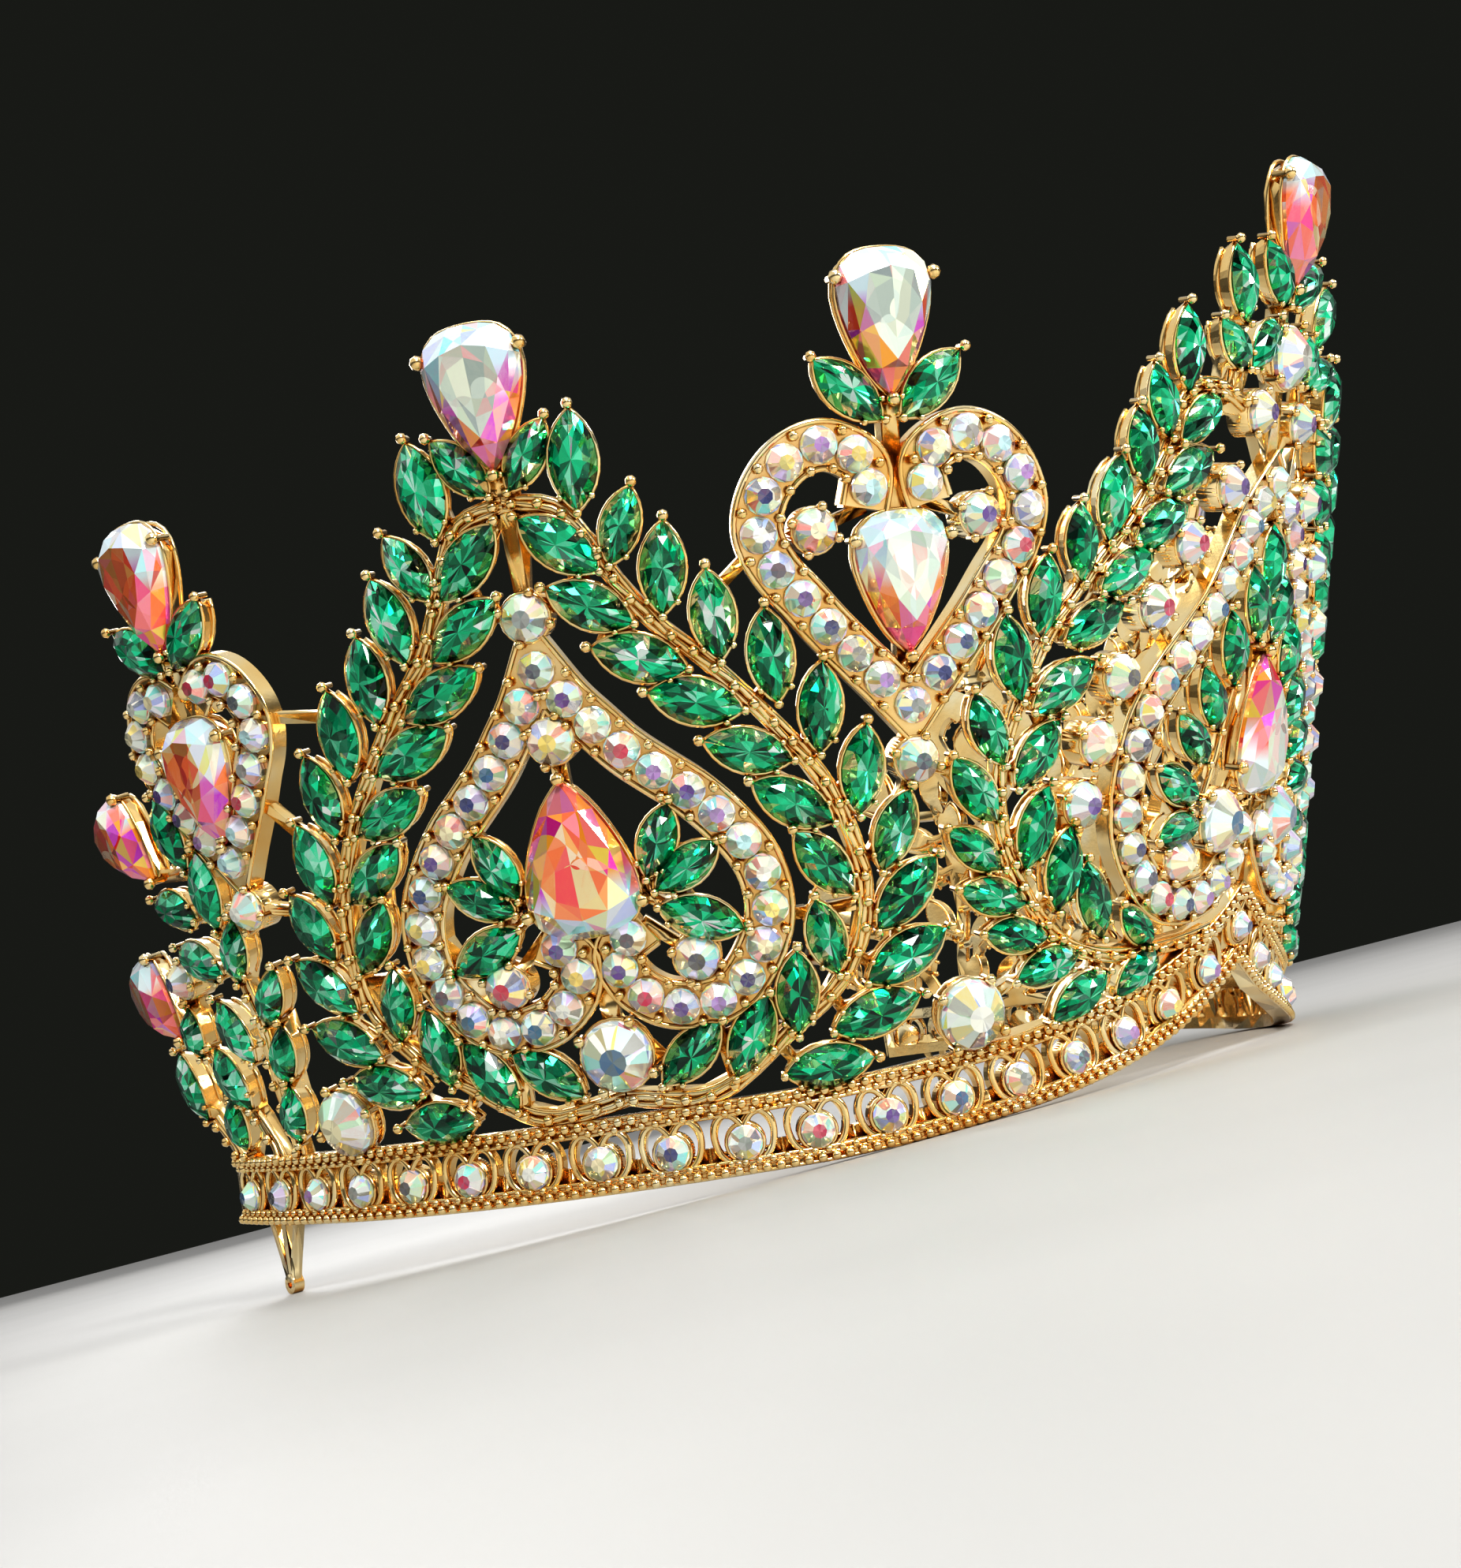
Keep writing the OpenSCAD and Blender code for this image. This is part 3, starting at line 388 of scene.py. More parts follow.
def path_mesh(paths):
    """Paths of points joined by edges. A path is its points and whether it closes."""
    verts, edges = [], []
    for points, closed in paths:
        first = len(verts)
        verts += [tuple(p) for p in points]
        edges += [(i, i + 1) for i in range(first, len(verts) - 1)]
        if closed:
            edges.append((len(verts) - 1, first))
    mesh = bpy.data.meshes.new("paths")
    mesh.from_pydata(verts, edges, [])
    return mesh


def place_mesh(places, seed, hues=None):
    """Points that each carry the turn, the size and the chance colour of the piece set there."""
    chance = random.Random(seed)
    mesh = bpy.data.meshes.new("places")
    mesh.from_pydata([tuple(seat.translation) for seat, size in places], [], [])
    turns = [v for seat, size in places for v in seat.to_3x3().normalized().to_quaternion()]
    mesh.attributes.new("facing", "QUATERNION", "POINT").data.foreach_set("value", turns)
    sizes = [v * MM for seat, size in places for v in size]
    mesh.attributes.new("size", "FLOAT_VECTOR", "POINT").data.foreach_set("vector", sizes)
    hues = hues or [chance.random() for place in places]
    mesh.attributes.new("hue", "FLOAT", "POINT").data.foreach_set("value", hues)
    return mesh


# Stones, cut in a unit box: length along Y, width along X, height along Z

def navette_ring(count, phase):
    """Points round a pointed oval, with a corner at each end."""
    bow = (1 + LEAF_RATIO ** 2) / (4 * LEAF_RATIO)
    got = []
    for i in range(count):
        t = ((i + phase) / count) % 1
        s = (t % 0.5) * 2
        y = 0.25 * (2 * s - 1 - math.cos(math.pi * s))
        half = (math.sqrt(bow ** 2 - y ** 2) - (bow - LEAF_RATIO / 2)) / LEAF_RATIO
        got.append((t, (half, y) if t < 0.5 else (-half, -y)))
    return got


def pear_ring(count, phase):
    """Points round a drop, from its point up one side and down the other."""
    side = np.array(PEAR_SIDE) / 100
    run = np.concatenate([[0], np.cumsum(np.hypot(*np.diff(side, axis=0).T))])
    got = []
    for i in range(count):
        t = ((i + phase) / count) % 1
        s = (t if t <= 0.5 else 1 - t) * 2 * run[-1]
        x, y = np.interp(s, run, side[:, 0]), np.interp(s, run, side[:, 1])
        got.append((t, (x if t <= 0.5 else -x, y)))
    return got


def round_ring(count, phase):
    got = []
    for i in range(count):
        t = ((i + phase) / count) % 1
        got.append((t, (0.5 * math.sin(2 * math.pi * t), -0.5 * math.cos(2 * math.pi * t))))
    return got


def facet_quads(low, top):
    """Four-sided facets between two rings of the same count and shift."""
    got = []
    for i in range(len(low)):
        n = (i + 1) % len(low)
        got.append([low[i][1], low[n][1], top[n][1], top[i][1]])
    return got


def facet_row(low, top):
    """Triangles between two rings, whose corners are each a turn round the stone and a number."""
    low_turns = [t for t, i in low[1:]] + [low[0][0] + 1, math.inf]
    top_turns = [t for t, i in top[1:]] + [top[0][0] + 1, math.inf]
    got = []
    i = j = 0
    while i < len(low) or j < len(top):
        a, b = low[i % len(low)][1], top[j % len(top)][1]
        if low_turns[i] <= top_turns[j]:
            i += 1
            got.append([a, low[i % len(low)][1], b])
        else:
            j += 1
            got.append([a, top[j % len(top)][1], b])
    return got


def cut_stone(name, outline, levels, middle=(0, 0)):
    """A stone cut in rings of facets from its edge up to its table, which is the last ring.

    Levels are the count, shift, size and height of each ring. The zone of a facet is 0 on the table
    and the back, 0.5 round the table and 1 nearer the edge.
    """
    verts, rings = [], []
    for count, phase, size, high in levels:
        ring = []
        for t, (x, y) in outline(count, phase):
            ring.append((t, len(verts)))
            x, y = middle[0] + (x - middle[0]) * size, middle[1] + (y - middle[1]) * size
            verts.append((x, y, high))
        rings.append(sorted(ring))
    faces, zones = [[i for t, i in rings[0]][::-1]], [0.0]
    for k, (low, top) in enumerate(zip(rings, rings[1:])):
        same = levels[k][:2] == levels[k + 1][:2]
        made = facet_quads(low, top) if same else facet_row(low, top)
        faces += made
        zones += [1.0 if k < len(rings) - 2 else 0.5] * len(made)
    faces.append([i for t, i in rings[-1]])
    zones.append(0.0)
    mesh = bpy.data.meshes.new(name)
    mesh.from_pydata(verts, [], faces)
    bm = bmesh.new()
    bm.from_mesh(mesh)
    bmesh.ops.recalc_face_normals(bm, faces=bm.faces)
    bm.to_mesh(mesh)
    bm.free()
    mesh.attributes.new("zone", "FLOAT", "FACE").data.foreach_set("value", zones)
    facets = [(k * FACET_STEP) % 1 for k in range(len(faces))]
    mesh.attributes.new("facet", "FLOAT", "FACE").data.foreach_set("value", facets)
    places = [v for loop in mesh.loops for v in mesh.vertices[loop.vertex_index].co[:2]]
    mesh.uv_layers.new(name="cut").data.foreach_set("uv", places)
    return add_object(name, mesh)


def turned_piece(name, rows, sides):
    """A small smooth piece turned round Z, in millimetres: distance from Z and height of each ring."""
    bm = bmesh.new()
    last = None
    for r, z in rows:
        turns = [2 * math.pi * k / sides for k in range(sides if r else 1)]
        ring = [bm.verts.new((r * math.cos(a), r * math.sin(a), z)) for a in turns]
        if last:
            for k in range(sides):
                n = k + 1
                corners = [last[k % len(last)], last[n % len(last)],
                           ring[n % len(ring)], ring[k % len(ring)]]
                bm.faces.new(list(dict.fromkeys(corners)))
        last = ring
    mesh = bpy.data.meshes.new(name)
    bmesh.ops.recalc_face_normals(bm, faces=bm.faces)
    bm.to_mesh(mesh)
    bm.free()
    return add_object(name, mesh)


def loose_stones(node):
    """Each loose stone of a CAD node: its corners as an array, with doubles merged."""
    bm = bmesh.new()
    bm.from_mesh(frame["nodes"][node].data)
    bmesh.ops.remove_doubles(bm, verts=bm.verts, dist=2e-6)
    left, stones = set(bm.verts), []
    while left:
        group, ahead = set(), [left.pop()]
        while ahead:
            v = ahead.pop()
            group.add(v)
            for e in v.link_edges:
                other = e.other_vert(v)
                if other in left:
                    left.discard(other)
                    ahead.append(other)
        stones.append(np.array([v.co[:] for v in group]))
    bm.free()
    return sorted(stones, key=lambda s: tuple(np.round(s.mean(0), 4)))


def stone_seat(corners, anchors=None):
    """Where a CAD stone sits: Y along its length away from its root or point, Z out of the crown."""
    middle = corners.mean(0)
    axes = np.linalg.eigh(np.cov((corners - middle).T))[1]
    out, long = axes[:, 0], axes[:, 2]
    from_centre = (middle - np.array(head_seat["pos_m"])) * np.array([1, 1, 0])
    if np.dot(out, from_centre) < 0:
        out = -out
    reach = (corners - middle) @ long
    if anchors is not None:
        ends = [middle + long * reach.min(), middle + long * reach.max()]
        near = [np.linalg.norm(anchors - e, axis=1).min() for e in ends]
        if near[1] < near[0]:
            long = -long
    elif abs(reach.max()) > abs(reach.min()):
        long = -long
    side = np.cross(long, out)
    box = [(corners - middle) @ a for a in (side, long, out)]
    size = [(b.max() - b.min()) / MM for b in box]
    shift = sum(a * (b.max() + b.min()) / 2 for a, b in zip((side, long), box))
    base = middle + shift + out * box[2].min()
    seat = Matrix([[side[k], long[k], out[k], base[k]] for k in range(3)] + [[0, 0, 0, 1]])
    return seat, size


def wire_round(seat, size, outline, count, gap, out):
    """Closed path round a stone, a gap outside its edge."""
    points = []
    for t, (x, y) in outline(count, 0):
        r = math.hypot(x, y)
        points.append(seat @ (Vector((x * size[0] + gap * x / r, y * size[1] + gap * y / r, out)) * MM))
    return points, True


# Finishes

def new_group(name, inputs, outputs):
    group = bpy.data.node_groups.new(name, "ShaderNodeTree")
    for label, kind in inputs:
        group.interface.new_socket(label, in_out="INPUT", socket_type=kind)
    for label, kind in outputs:
        group.interface.new_socket(label, in_out="OUTPUT", socket_type=kind)
    return group, group.nodes.new("NodeGroupInput"), group.nodes.new("NodeGroupOutput")


def math_node(tree, how, a, b=0.5, c=0.0):
    node = tree.nodes.new("ShaderNodeMath")
    node.operation = how
    for k, value in enumerate((a, b, c)):
        if isinstance(value, (int, float)):
            node.inputs[k].default_value = value
        else:
            tree.links.new(value, node.inputs[k])
    return node.outputs[0]


def vector_node(tree, how, inputs):
    """Vector maths on sockets or plain values, given by the number or name of each input."""
    node = tree.nodes.new("ShaderNodeVectorMath")
    node.operation = how
    for key, value in inputs.items():
        if isinstance(value, tuple):
            node.inputs[key].default_value = value
        else:
            tree.links.new(value, node.inputs[key])
    return node.outputs[0]


def join_values(tree, **values):
    """A vector made of values by its axes."""
    node = tree.nodes.new("ShaderNodeCombineXYZ")
    for axis, value in values.items():
        tree.links.new(value, node.inputs[axis])
    return node.outputs[0]


def cut_place(tree):
    """Where a point lies on its stone, from the UV map of the cut: across and along."""
    cut = tree.nodes.new("ShaderNodeUVMap")
    cut.uv_map = "cut"
    apart = tree.nodes.new("ShaderNodeSeparateXYZ")
    tree.links.new(cut.outputs["UV"], apart.inputs[0])
    return apart.outputs["X"], apart.outputs["Y"]


def inner_light_group():
    """What a foiled stone shows inside: slivers that each lean their own way, over the cut facets."""
    group, start, end = new_group("inner_light", [
        ("Slivers round", "NodeSocketFloat"), ("Slivers out", "NodeSocketFloat"),
        ("Lean", "NodeSocketFloat")],
        [("Normal", "NodeSocketVector"), ("Sliver", "NodeSocketFloat"), ("Facet", "NodeSocketFloat"),
         ("Stone", "NodeSocketFloat"), ("Zone", "NodeSocketFloat")])
    read = {}
    for name in ("hue", "facet", "zone"):
        node = group.nodes.new("ShaderNodeAttribute")
        node.attribute_name = name
        read[name] = node.outputs["Fac"]
    x, y = cut_place(group)
    way_round = math_node(group, "ARCTAN2", math_node(group, "ABSOLUTE", x), y)
    squares = [math_node(group, "MULTIPLY", v, v) for v in (x, y)]
    way_out = math_node(group, "SQRT", math_node(group, "ADD", *squares))
    half = math_node(group, "MULTIPLY", math_node(group, "SIGN", x), 3.7)
    place = join_values(
        group, X=math_node(group, "MULTIPLY", way_round, start.outputs["Slivers round"]),
        Y=math_node(group, "MULTIPLY", way_out, start.outputs["Slivers out"]),
        Z=math_node(group, "MULTIPLY_ADD", read["hue"], 61.0, half))
    sliver = group.nodes.new("ShaderNodeTexVoronoi")
    sliver.inputs["Scale"].default_value = 1.0
    group.links.new(place, sliver.inputs["Vector"])
    chance = group.nodes.new("ShaderNodeTexWhiteNoise")
    chance.noise_dimensions = "2D"
    group.links.new(join_values(group, X=read["facet"], Y=read["hue"]), chance.inputs["Vector"])
    lean = vector_node(group, "SUBTRACT", {0: sliver.outputs["Color"], 1: (0.5, 0.5, 0.5)})
    lean = vector_node(group, "SCALE", {0: lean, "Scale": start.outputs["Lean"]})
    face = group.nodes.new("ShaderNodeNewGeometry")
    leaning = vector_node(group, "ADD", {0: face.outputs["Normal"], 1: lean})
    tone = group.nodes.new("ShaderNodeSeparateColor")
    group.links.new(sliver.outputs["Color"], tone.inputs[0])
    group.links.new(vector_node(group, "NORMALIZE", {0: leaning}), end.inputs["Normal"])
    group.links.new(tone.outputs[1], end.inputs["Sliver"])
    group.links.new(chance.outputs["Value"], end.inputs["Facet"])
    group.links.new(read["hue"], end.inputs["Stone"])
    group.links.new(read["zone"], end.inputs["Zone"])
    return group


def new_finish(name):
    finish = bpy.data.materials.new(name)
    finish.use_nodes = True
    tree = finish.node_tree
    return finish, tree, tree.nodes["Principled BSDF"]


def ramp(tree, factor, stops, blend="LINEAR"):
    node = tree.nodes.new("ShaderNodeValToRGB")
    node.color_ramp.interpolation = blend
    while len(node.color_ramp.elements) < len(stops):
        node.color_ramp.elements.new(0.5)
    for element, (at, colour) in zip(node.color_ramp.elements, stops):
        element.position = at
    for element, (at, colour) in zip(node.color_ramp.elements, stops):
        element.color = (*colour, 1)
    tree.links.new(factor, node.inputs[0])
    return node.outputs["Color"]


def step_at(tree, factor, low, high, blend="CONSTANT"):
    """Black below one value and white from another on."""
    return ramp(tree, factor, [(low, BLACK), (high, WHITE)], blend)


def blend_colours(tree, factor, a, b):
    node = tree.nodes.new("ShaderNodeMix")
    node.data_type = "RGBA"
    tree.links.new(factor, node.inputs["Factor"])
    for socket, value in ((node.inputs[6], a), (node.inputs[7], b)):
        if isinstance(value, tuple):
            socket.default_value = (*value, 1)
        else:
            tree.links.new(value, socket)
    return node.outputs[2]


def object_noise(tree, scale, detail):
    where = tree.nodes.new("ShaderNodeTexCoord")
    noise = tree.nodes.new("ShaderNodeTexNoise")
    noise.inputs["Scale"].default_value = scale
    noise.inputs["Detail"].default_value = detail
    tree.links.new(where.outputs["Object"], noise.inputs["Vector"])
    return noise.outputs["Fac"]


def gold_finish():
    finish, tree, skin = new_finish("gold_plate")
    cloud, grain = object_noise(tree, 90, 3), object_noise(tree, 900, 2)
    tone = ramp(tree, cloud, GOLDS)
    # Painted shade: where ambient occlusion finds crevices and recesses, the base colour turns to a dark
    # brown.
    crease = tree.nodes.new("ShaderNodeAmbientOcclusion")
    crease.inputs["Distance"].default_value = 0.0013
    crease.samples = 4
    depth = step_at(tree, crease.outputs["AO"], 0.25, 0.85, "LINEAR")
    tree.links.new(blend_colours(tree, depth, (0.6, 0.29, 0.06), tone), skin.inputs["Base Color"])
    skin.inputs["Metallic"].default_value = 1.0
    rough = ramp(tree, cloud, [(0.25, (0.24, 0.24, 0.24)), (0.7, (0.1, 0.1, 0.1))])
    tree.links.new(rough, skin.inputs["Roughness"])
    bump = tree.nodes.new("ShaderNodeBump")
    bump.inputs["Strength"].default_value = 0.12
    bump.inputs["Distance"].default_value = 0.0002
    tree.links.new(grain, bump.inputs["Height"])
    tree.links.new(bump.outputs[0], skin.inputs["Normal"])
    return finish


def stone_light(tree, round_by, out_by, lean_by):
    light = tree.nodes.new("ShaderNodeGroup")
    light.node_tree = inner_light
    light.inputs["Slivers round"].default_value = round_by
    light.inputs["Slivers out"].default_value = out_by
    light.inputs["Lean"].default_value = lean_by
    return light


def polish(tree, skin, light, inner):
    """Clear polished face over the foil: sharp highlights on the cut, softer light from inside."""
    skin.inputs["Metallic"].default_value = inner
    skin.inputs["Roughness"].default_value = 0.08
    skin.inputs["Coat Weight"].default_value = 1.0
    skin.inputs["Coat Roughness"].default_value = 0.02
    skin.inputs["Coat IOR"].default_value = 1.55
    tree.links.new(light.outputs["Normal"], skin.inputs["Normal"])


def green_finish():
    finish, tree, skin = new_finish("emerald_glass")
    light = stone_light(tree, 2.0, 1.9, 1.2)
    # Each sliver and facet takes a green at random. This paints the stone's inner reflections, from dark
    # shards to near-white flashes, over its own green.
    mixed = math_node(tree, "ADD", math_node(tree, "MULTIPLY", light.outputs["Sliver"], 0.6),
                      math_node(tree, "MULTIPLY", light.outputs["Facet"], 0.42))
    tree.links.new(ramp(tree, mixed, GREENS_WITH_PAINTED_GLINTS), skin.inputs["Base Color"])
    polish(tree, skin, light, 0.9)
    skin.inputs["Coat Weight"].default_value = 0.6
    return finish


def crystal_finish(name, inner, slivers, share, edges, tables, points=None):
    """Coated crystal: its middle, the facets round it and its edge each take their own chance tones.

    Slivers are the inner light's own inputs, and share is how much they change the tone. With one
    palette of tables the middle is a heart of one colour. With two, each stone takes one or the
    other, and its middle too. Points are the tones round a drop's point.
    """
    finish, tree, skin = new_finish(name)
    light = stone_light(tree, *slivers)
    stone, zone = light.outputs["Stone"], light.outputs["Zone"]
    mixed = math_node(tree, "ADD", math_node(tree, "MULTIPLY", light.outputs["Sliver"], share),
                      math_node(tree, "MULTIPLY", light.outputs["Facet"], 3.1))
    mixed = math_node(tree, "FRACT", math_node(tree, "ADD", mixed, stone))
    table = ramp(tree, mixed, tables[0])
    if len(tables) > 1:
        table = blend_colours(tree, step_at(tree, stone, 0.49, 0.5), table, ramp(tree, mixed, tables[1]))
        middle = table
    else:
        glint = math_node(tree, "MULTIPLY", light.outputs["Sliver"], 0.2)
        middle = blend_colours(tree, glint, ramp(tree, stone, HEARTS, "CONSTANT"), table)
    edge = ramp(tree, mixed, edges)
    if points:
        low = math_node(tree, "SUBTRACT", math_node(tree, "MULTIPLY", light.outputs["Facet"], 0.35),
                        cut_place(tree)[1])
        edge = blend_colours(tree, step_at(tree, low, 0.0, 0.14, "LINEAR"), edge,
                             ramp(tree, mixed, points))
    face = blend_colours(tree, step_at(tree, zone, 0.2, 0.3), middle, table)
    whole = blend_colours(tree, step_at(tree, zone, 0.7, 0.8), face, edge)
    tree.links.new(whole, skin.inputs["Base Color"])
    polish(tree, skin, light, inner)
    return finish


inner_light = inner_light_group()
gold = gold_finish()
green_glass = green_finish()
small_crystal = crystal_finish("small_crystal", 0.5, (1.0, 1.8, 0.6), 0.2, PETALS, [PETALS])
drop_crystal = crystal_finish("drop_crystal", 0.6, (0.7, 1.8, 0.4), 0.4, EDGES, [WARM_TABLE, PALE_TABLE],
                              POINTS)
round_crystal = crystal_finish("round_crystal", 0.5, (1.0, 1.8, 0.55), 0.2, EDGES, [PETALS])


# Metal and stones

round_wire, bead_row = round_wire_tree(), bead_row_tree()
set_stones, set_claws = set_pieces_tree(False), set_pieces_tree(True)

navette_cut = cut_stone("navette_cut", navette_ring, [
    (20, 0, 1, 0), (20, 0, 1, 0.18), (10, 0.5, 0.78, 0.7), (10, 0, 0.5, 1)])
pear_cut = cut_stone("pear_cut", pear_ring, [
    (20, 0, 1, 0), (20, 0, 1, 0.18), (8, 0.5, 0.86, 0.64), (8, 0, 0.62, 0.96), (6, 0, 0.4, 1)],
    (0, 0.12))
round_cut = cut_stone("round_cut", round_ring, [
    (24, 0, 1, 0), (24, 0, 1, 0.22), (12, 0, 0.92, 0.4), (12, 0, 0.38, 1)])
chaton_cut = cut_stone("chaton_cut", round_ring, [
    (16, 0, 1, 0), (16, 0, 1, 0.3), (8, 0, 0.93, 0.42), (8, 0, 0.42, 1)])

bead = turned_piece("bead", [(0, -0.5), (0.36, -0.34), (0.5, 0), (0.36, 0.34), (0, 0.5)], 8)
claw = turned_piece("claw", [
    (0, -2.6), (0.5, -2.6), (0.5, -0.5), (0.62, -0.62), (1, 0), (0.72, 0.7), (0, 1)], 8)

# A strip is its path, the centre line of its panel and its ends.
panel_stems, strips = [], []
for side in (-1, 1):
    panel_stems.append(in_panel(FRONT_STEM, 0, FRONT_W, FRONT_H, side))
    panel_stems += [in_panel(SIDE_STEM, at, SIDE_W, SIDE_H, side) for at in (-SIDE_AT, SIDE_AT)]
    panel_stems += [in_panel(rows, side * SPRAY_AT, SPRAY_W, SPRAY_H, side) for rows in REAR_STEMS]
    strips.append((in_panel(FRONT_STRIP, 0, FRONT_W, FRONT_H, side), 0, ARCH_ENDS))
    for at in (-SIDE_AT, SIDE_AT):
        strips.append((in_panel(SIDE_STRIP, at, SIDE_W, SIDE_H, side), at, ARCH_ENDS))
    for at in (-HEART_AT, HEART_AT):
        strips.append((in_panel(HEART_STRIP, at, HEART_W, HEART_H, side, HEART_UP), at, HEART_ENDS))
    for at in (-REAR_HEART_AT, REAR_HEART_AT):
        path = in_panel(HEART_STRIP[1:], at, REAR_HEART_W, REAR_HEART_H, side, REAR_HEART_UP)
        strips.append((path, at, HEART_ENDS))
fans = [in_panel(FRONT_FAN, 0, FRONT_W, FRONT_H, side) for side in (-1, 1)]

# Leaves grow from the stems, the fans, the axes of the finials and the foot of each side drop.
leaf_roots = [on_wall(*p) for path in panel_stems + fans for p in eased(path)]
for at, up in (
        (0, FRONT_H * 0.925), (SIDE_AT, SIDE_H * 0.905), (HEART_AT, HEART_UP + HEART_H + FINIAL_GAP),
        (REAR_HEART_AT, REAR_HEART_UP + REAR_HEART_H + FINIAL_GAP)):
    leaf_roots += [on_wall(side * at, up + 1) for side in (-1, 1)]
leaf_roots += [on_wall(at, SIDE_H * 0.36) for at in (-SIDE_AT, SIDE_AT)]
leaf_roots = np.array([p[:] for p in leaf_roots])

rim_paths, foot_paths, claw_places, cup_seats = [], [], [], []


def add_claw(seat, x, y, r, high):
    """Claw that stands beside a stone, with its ball over the stone's edge."""
    claw_places.append((seat @ Matrix.Translation(Vector((x, y, high)) * MM), (r, r, r)))


def add_four_claws(seat, size, gap, r, high):
    """Claws at four corners round a round stone, a gap outside its edge."""
    for k in range(4):
        a = math.pi / 4 + k * math.pi / 2
        add_claw(seat, math.cos(a) * (size[0] / 2 + gap), math.sin(a) * (size[1] / 2 + gap), r, high)


def add_cup(seat, size, outline, cut, cup):
    """The wires of a loose stone's cup. Gives the place and the size of the stone's cut."""
    rim, foot, taper = cup
    rim_paths.append(wire_round(seat, size, outline, *rim))
    foot_paths.append(wire_round(seat, size, outline, *foot))
    cup_seats.append((seat, size, *taper))
    return seat, (size[0] + cut[0], size[1] + cut[1], cut[2])


leaf_places = {}
for node in ("leaves_front", "leaves_near", "leaves_far"):
    leaf_places[node] = []
    for corners in loose_stones(node):
        seat, size = stone_seat(corners, leaf_roots)
        leaf_places[node].append(add_cup(seat, size, navette_ring, LEAF_CUT, LEAF_CUP))
        add_claw(seat, 0, size[1] / 2 + 1.05, 0.74, 0.9)
        add_claw(seat, 0, -size[1] / 2 - 0.6, 0.62, 0.85)
        for x in (-1, 1):
            add_claw(seat, x * (size[0] * 0.22 + 0.75), -size[1] * 0.38, 0.45, 0.6)

pear_places, round_places = [], []
for node in frame["nodes"]:
    if node.startswith(("leaves", "frame")):
        continue
    for corners in loose_stones(node):
        seat, size = stone_seat(corners)
        if "pear" in node:
            pear_places.append((node, *add_cup(seat, size, pear_ring, DROP_CUT, DROP_CUP)))
            for x, y in ((-0.47, 0.3), (0.47, 0.3), (0, -0.5)):
                add_claw(seat, x * (size[0] + 1.9), y * (size[1] + 1.6), 0.95, 1.1)
        else:
            round_places.append((node, *add_cup(seat, size, round_ring, ROUND_CUT, ROUND_CUP)))
            add_four_claws(seat, size, 0.8, 0.8, 0.9)

# Small stones along the strips, one where two strips meet, and a pair of claws between neighbours.
strip_stones = []
for path, at, (start, end, meet) in strips:
    stones = walk(eased(path, 5), STONE_PITCH, start, end)
    for one, next_one in zip(stones, stones[1:]):
        d = wall_step(one[:2], next_one[:2])
        seat = true_seat((one[0] + next_one[0]) / 2, (one[1] + next_one[1]) / 2, math.atan2(d.y, d.x))
        for y in (-2.4, 2.4):
            add_claw(seat, 0, y, 0.68, 0.8)
    shared = stones.pop(meet)
    if shared[0] > at:
        strip_stones.append((wall_seat(at, shared[1], 0.05, 0), STRIP_STONE))
    for across, up, turn in stones:
        strip_stones.append((wall_seat(across, up, 0.05, turn), STRIP_STONE))

# Middle rounds between the panels' leaves and strips, as across, up and width.
middles = []
for side in (-1, 1):
    middles += [(*p, 6.2) for p in in_panel(FRONT_MIDDLES, 0, FRONT_W, FRONT_H, side)]
    for s in (-1, 1):
        middles.append((s * SIDE_AT + side * SIDE_W * 0.28, SIDE_H * 0.265, 5.9))
        middles.append((s * HEART_AT + side * HEART_W * 0.61, HEART_UP + HEART_H * 0.7, 5.6))
    middles.append((side * SIDE_AT, SIDE_H * 0.75, 6.1))
    middles.append((side * SIDE_AT, SIDE_H * 0.585, 6.1))
    middles.append((side * HEART_AT, HEART_UP - 6, 5.8))
    middles.append((side * REAR_HEART_AT, REAR_HEART_UP - 6, 5.8))
    middles.append((side * SPRAY_AT + side * SPRAY_W * 0.33, SPRAY_H * 0.55, 5.9))
middle_places = []
for across, up, wide in middles:
    seat = true_seat(across, up, 0.4)
    middle_places.append((seat, (wide, wide, MIDDLE_HIGH)))
    rim_paths.append(wire_round(seat, (wide, wide), round_ring, 20, 0.05, 0.0))
    add_four_claws(seat, (wide, wide), 0.3, 0.68, 0.8)


def band_line(off, out, margin, count):
    """Line along the whole band and over its peak, at a height from the band's middle."""
    points = []
    for x in np.linspace(-BAND_END + margin, BAND_END - margin, count):
        points.append(on_wall(x, BAND_MID + rise(x) + off / math.cos(slope(x)), out))
    return points, False


# Band: a heart of wire round each stone, three fine wires behind, and bead rows on both rails.
band_hearts, band_stones = [], []
turns = np.linspace(0, 2 * math.pi, 20, endpoint=False)
for i in range(RINGS):
    across = -BAND_END + (i + 0.5) * 2 * BAND_END / RINGS
    turn = -math.copysign(slope(across), across) if across else 0
    seat = true_seat(across, BAND_MID + rise(across), turn)
    band_stones.append((seat @ Matrix.Translation((0, -BAND_STONE_DOWN * MM, -0.5 * MM)), BAND_STONE))
    rim = [(BAND_RIM_R * math.cos(a), BAND_RIM_R * math.sin(a) - BAND_STONE_DOWN) for a in turns]
    rim_paths.append(([seat @ (Vector((*p, -0.35)) * MM) for p in rim], True))
    for side in (-1, 1):
        heart = [(side * x, y) for x, y in eased(HEART_LOOP)]
        band_hearts.append(([seat @ (Vector((*p, -0.45)) * MM) for p in heart], False))
band_wires = [band_line(off, -1.3, 1, 221) for off in BACK_WIRES]
for side in (-1, 1):
    band_wires += [band_line(side * RAIL_OFF + off, -0.15, 0.4, 221) for off in RAIL_WIRES]
rail_rows = [band_line(side * (RAIL_OFF + 0.4), 0.2, 0.5, 301) for side in (-1, 1)]
small_rail_rows = [band_line(side * (RAIL_OFF - 0.55), 0.1, 1.4, 301) for side in (-1, 1)]

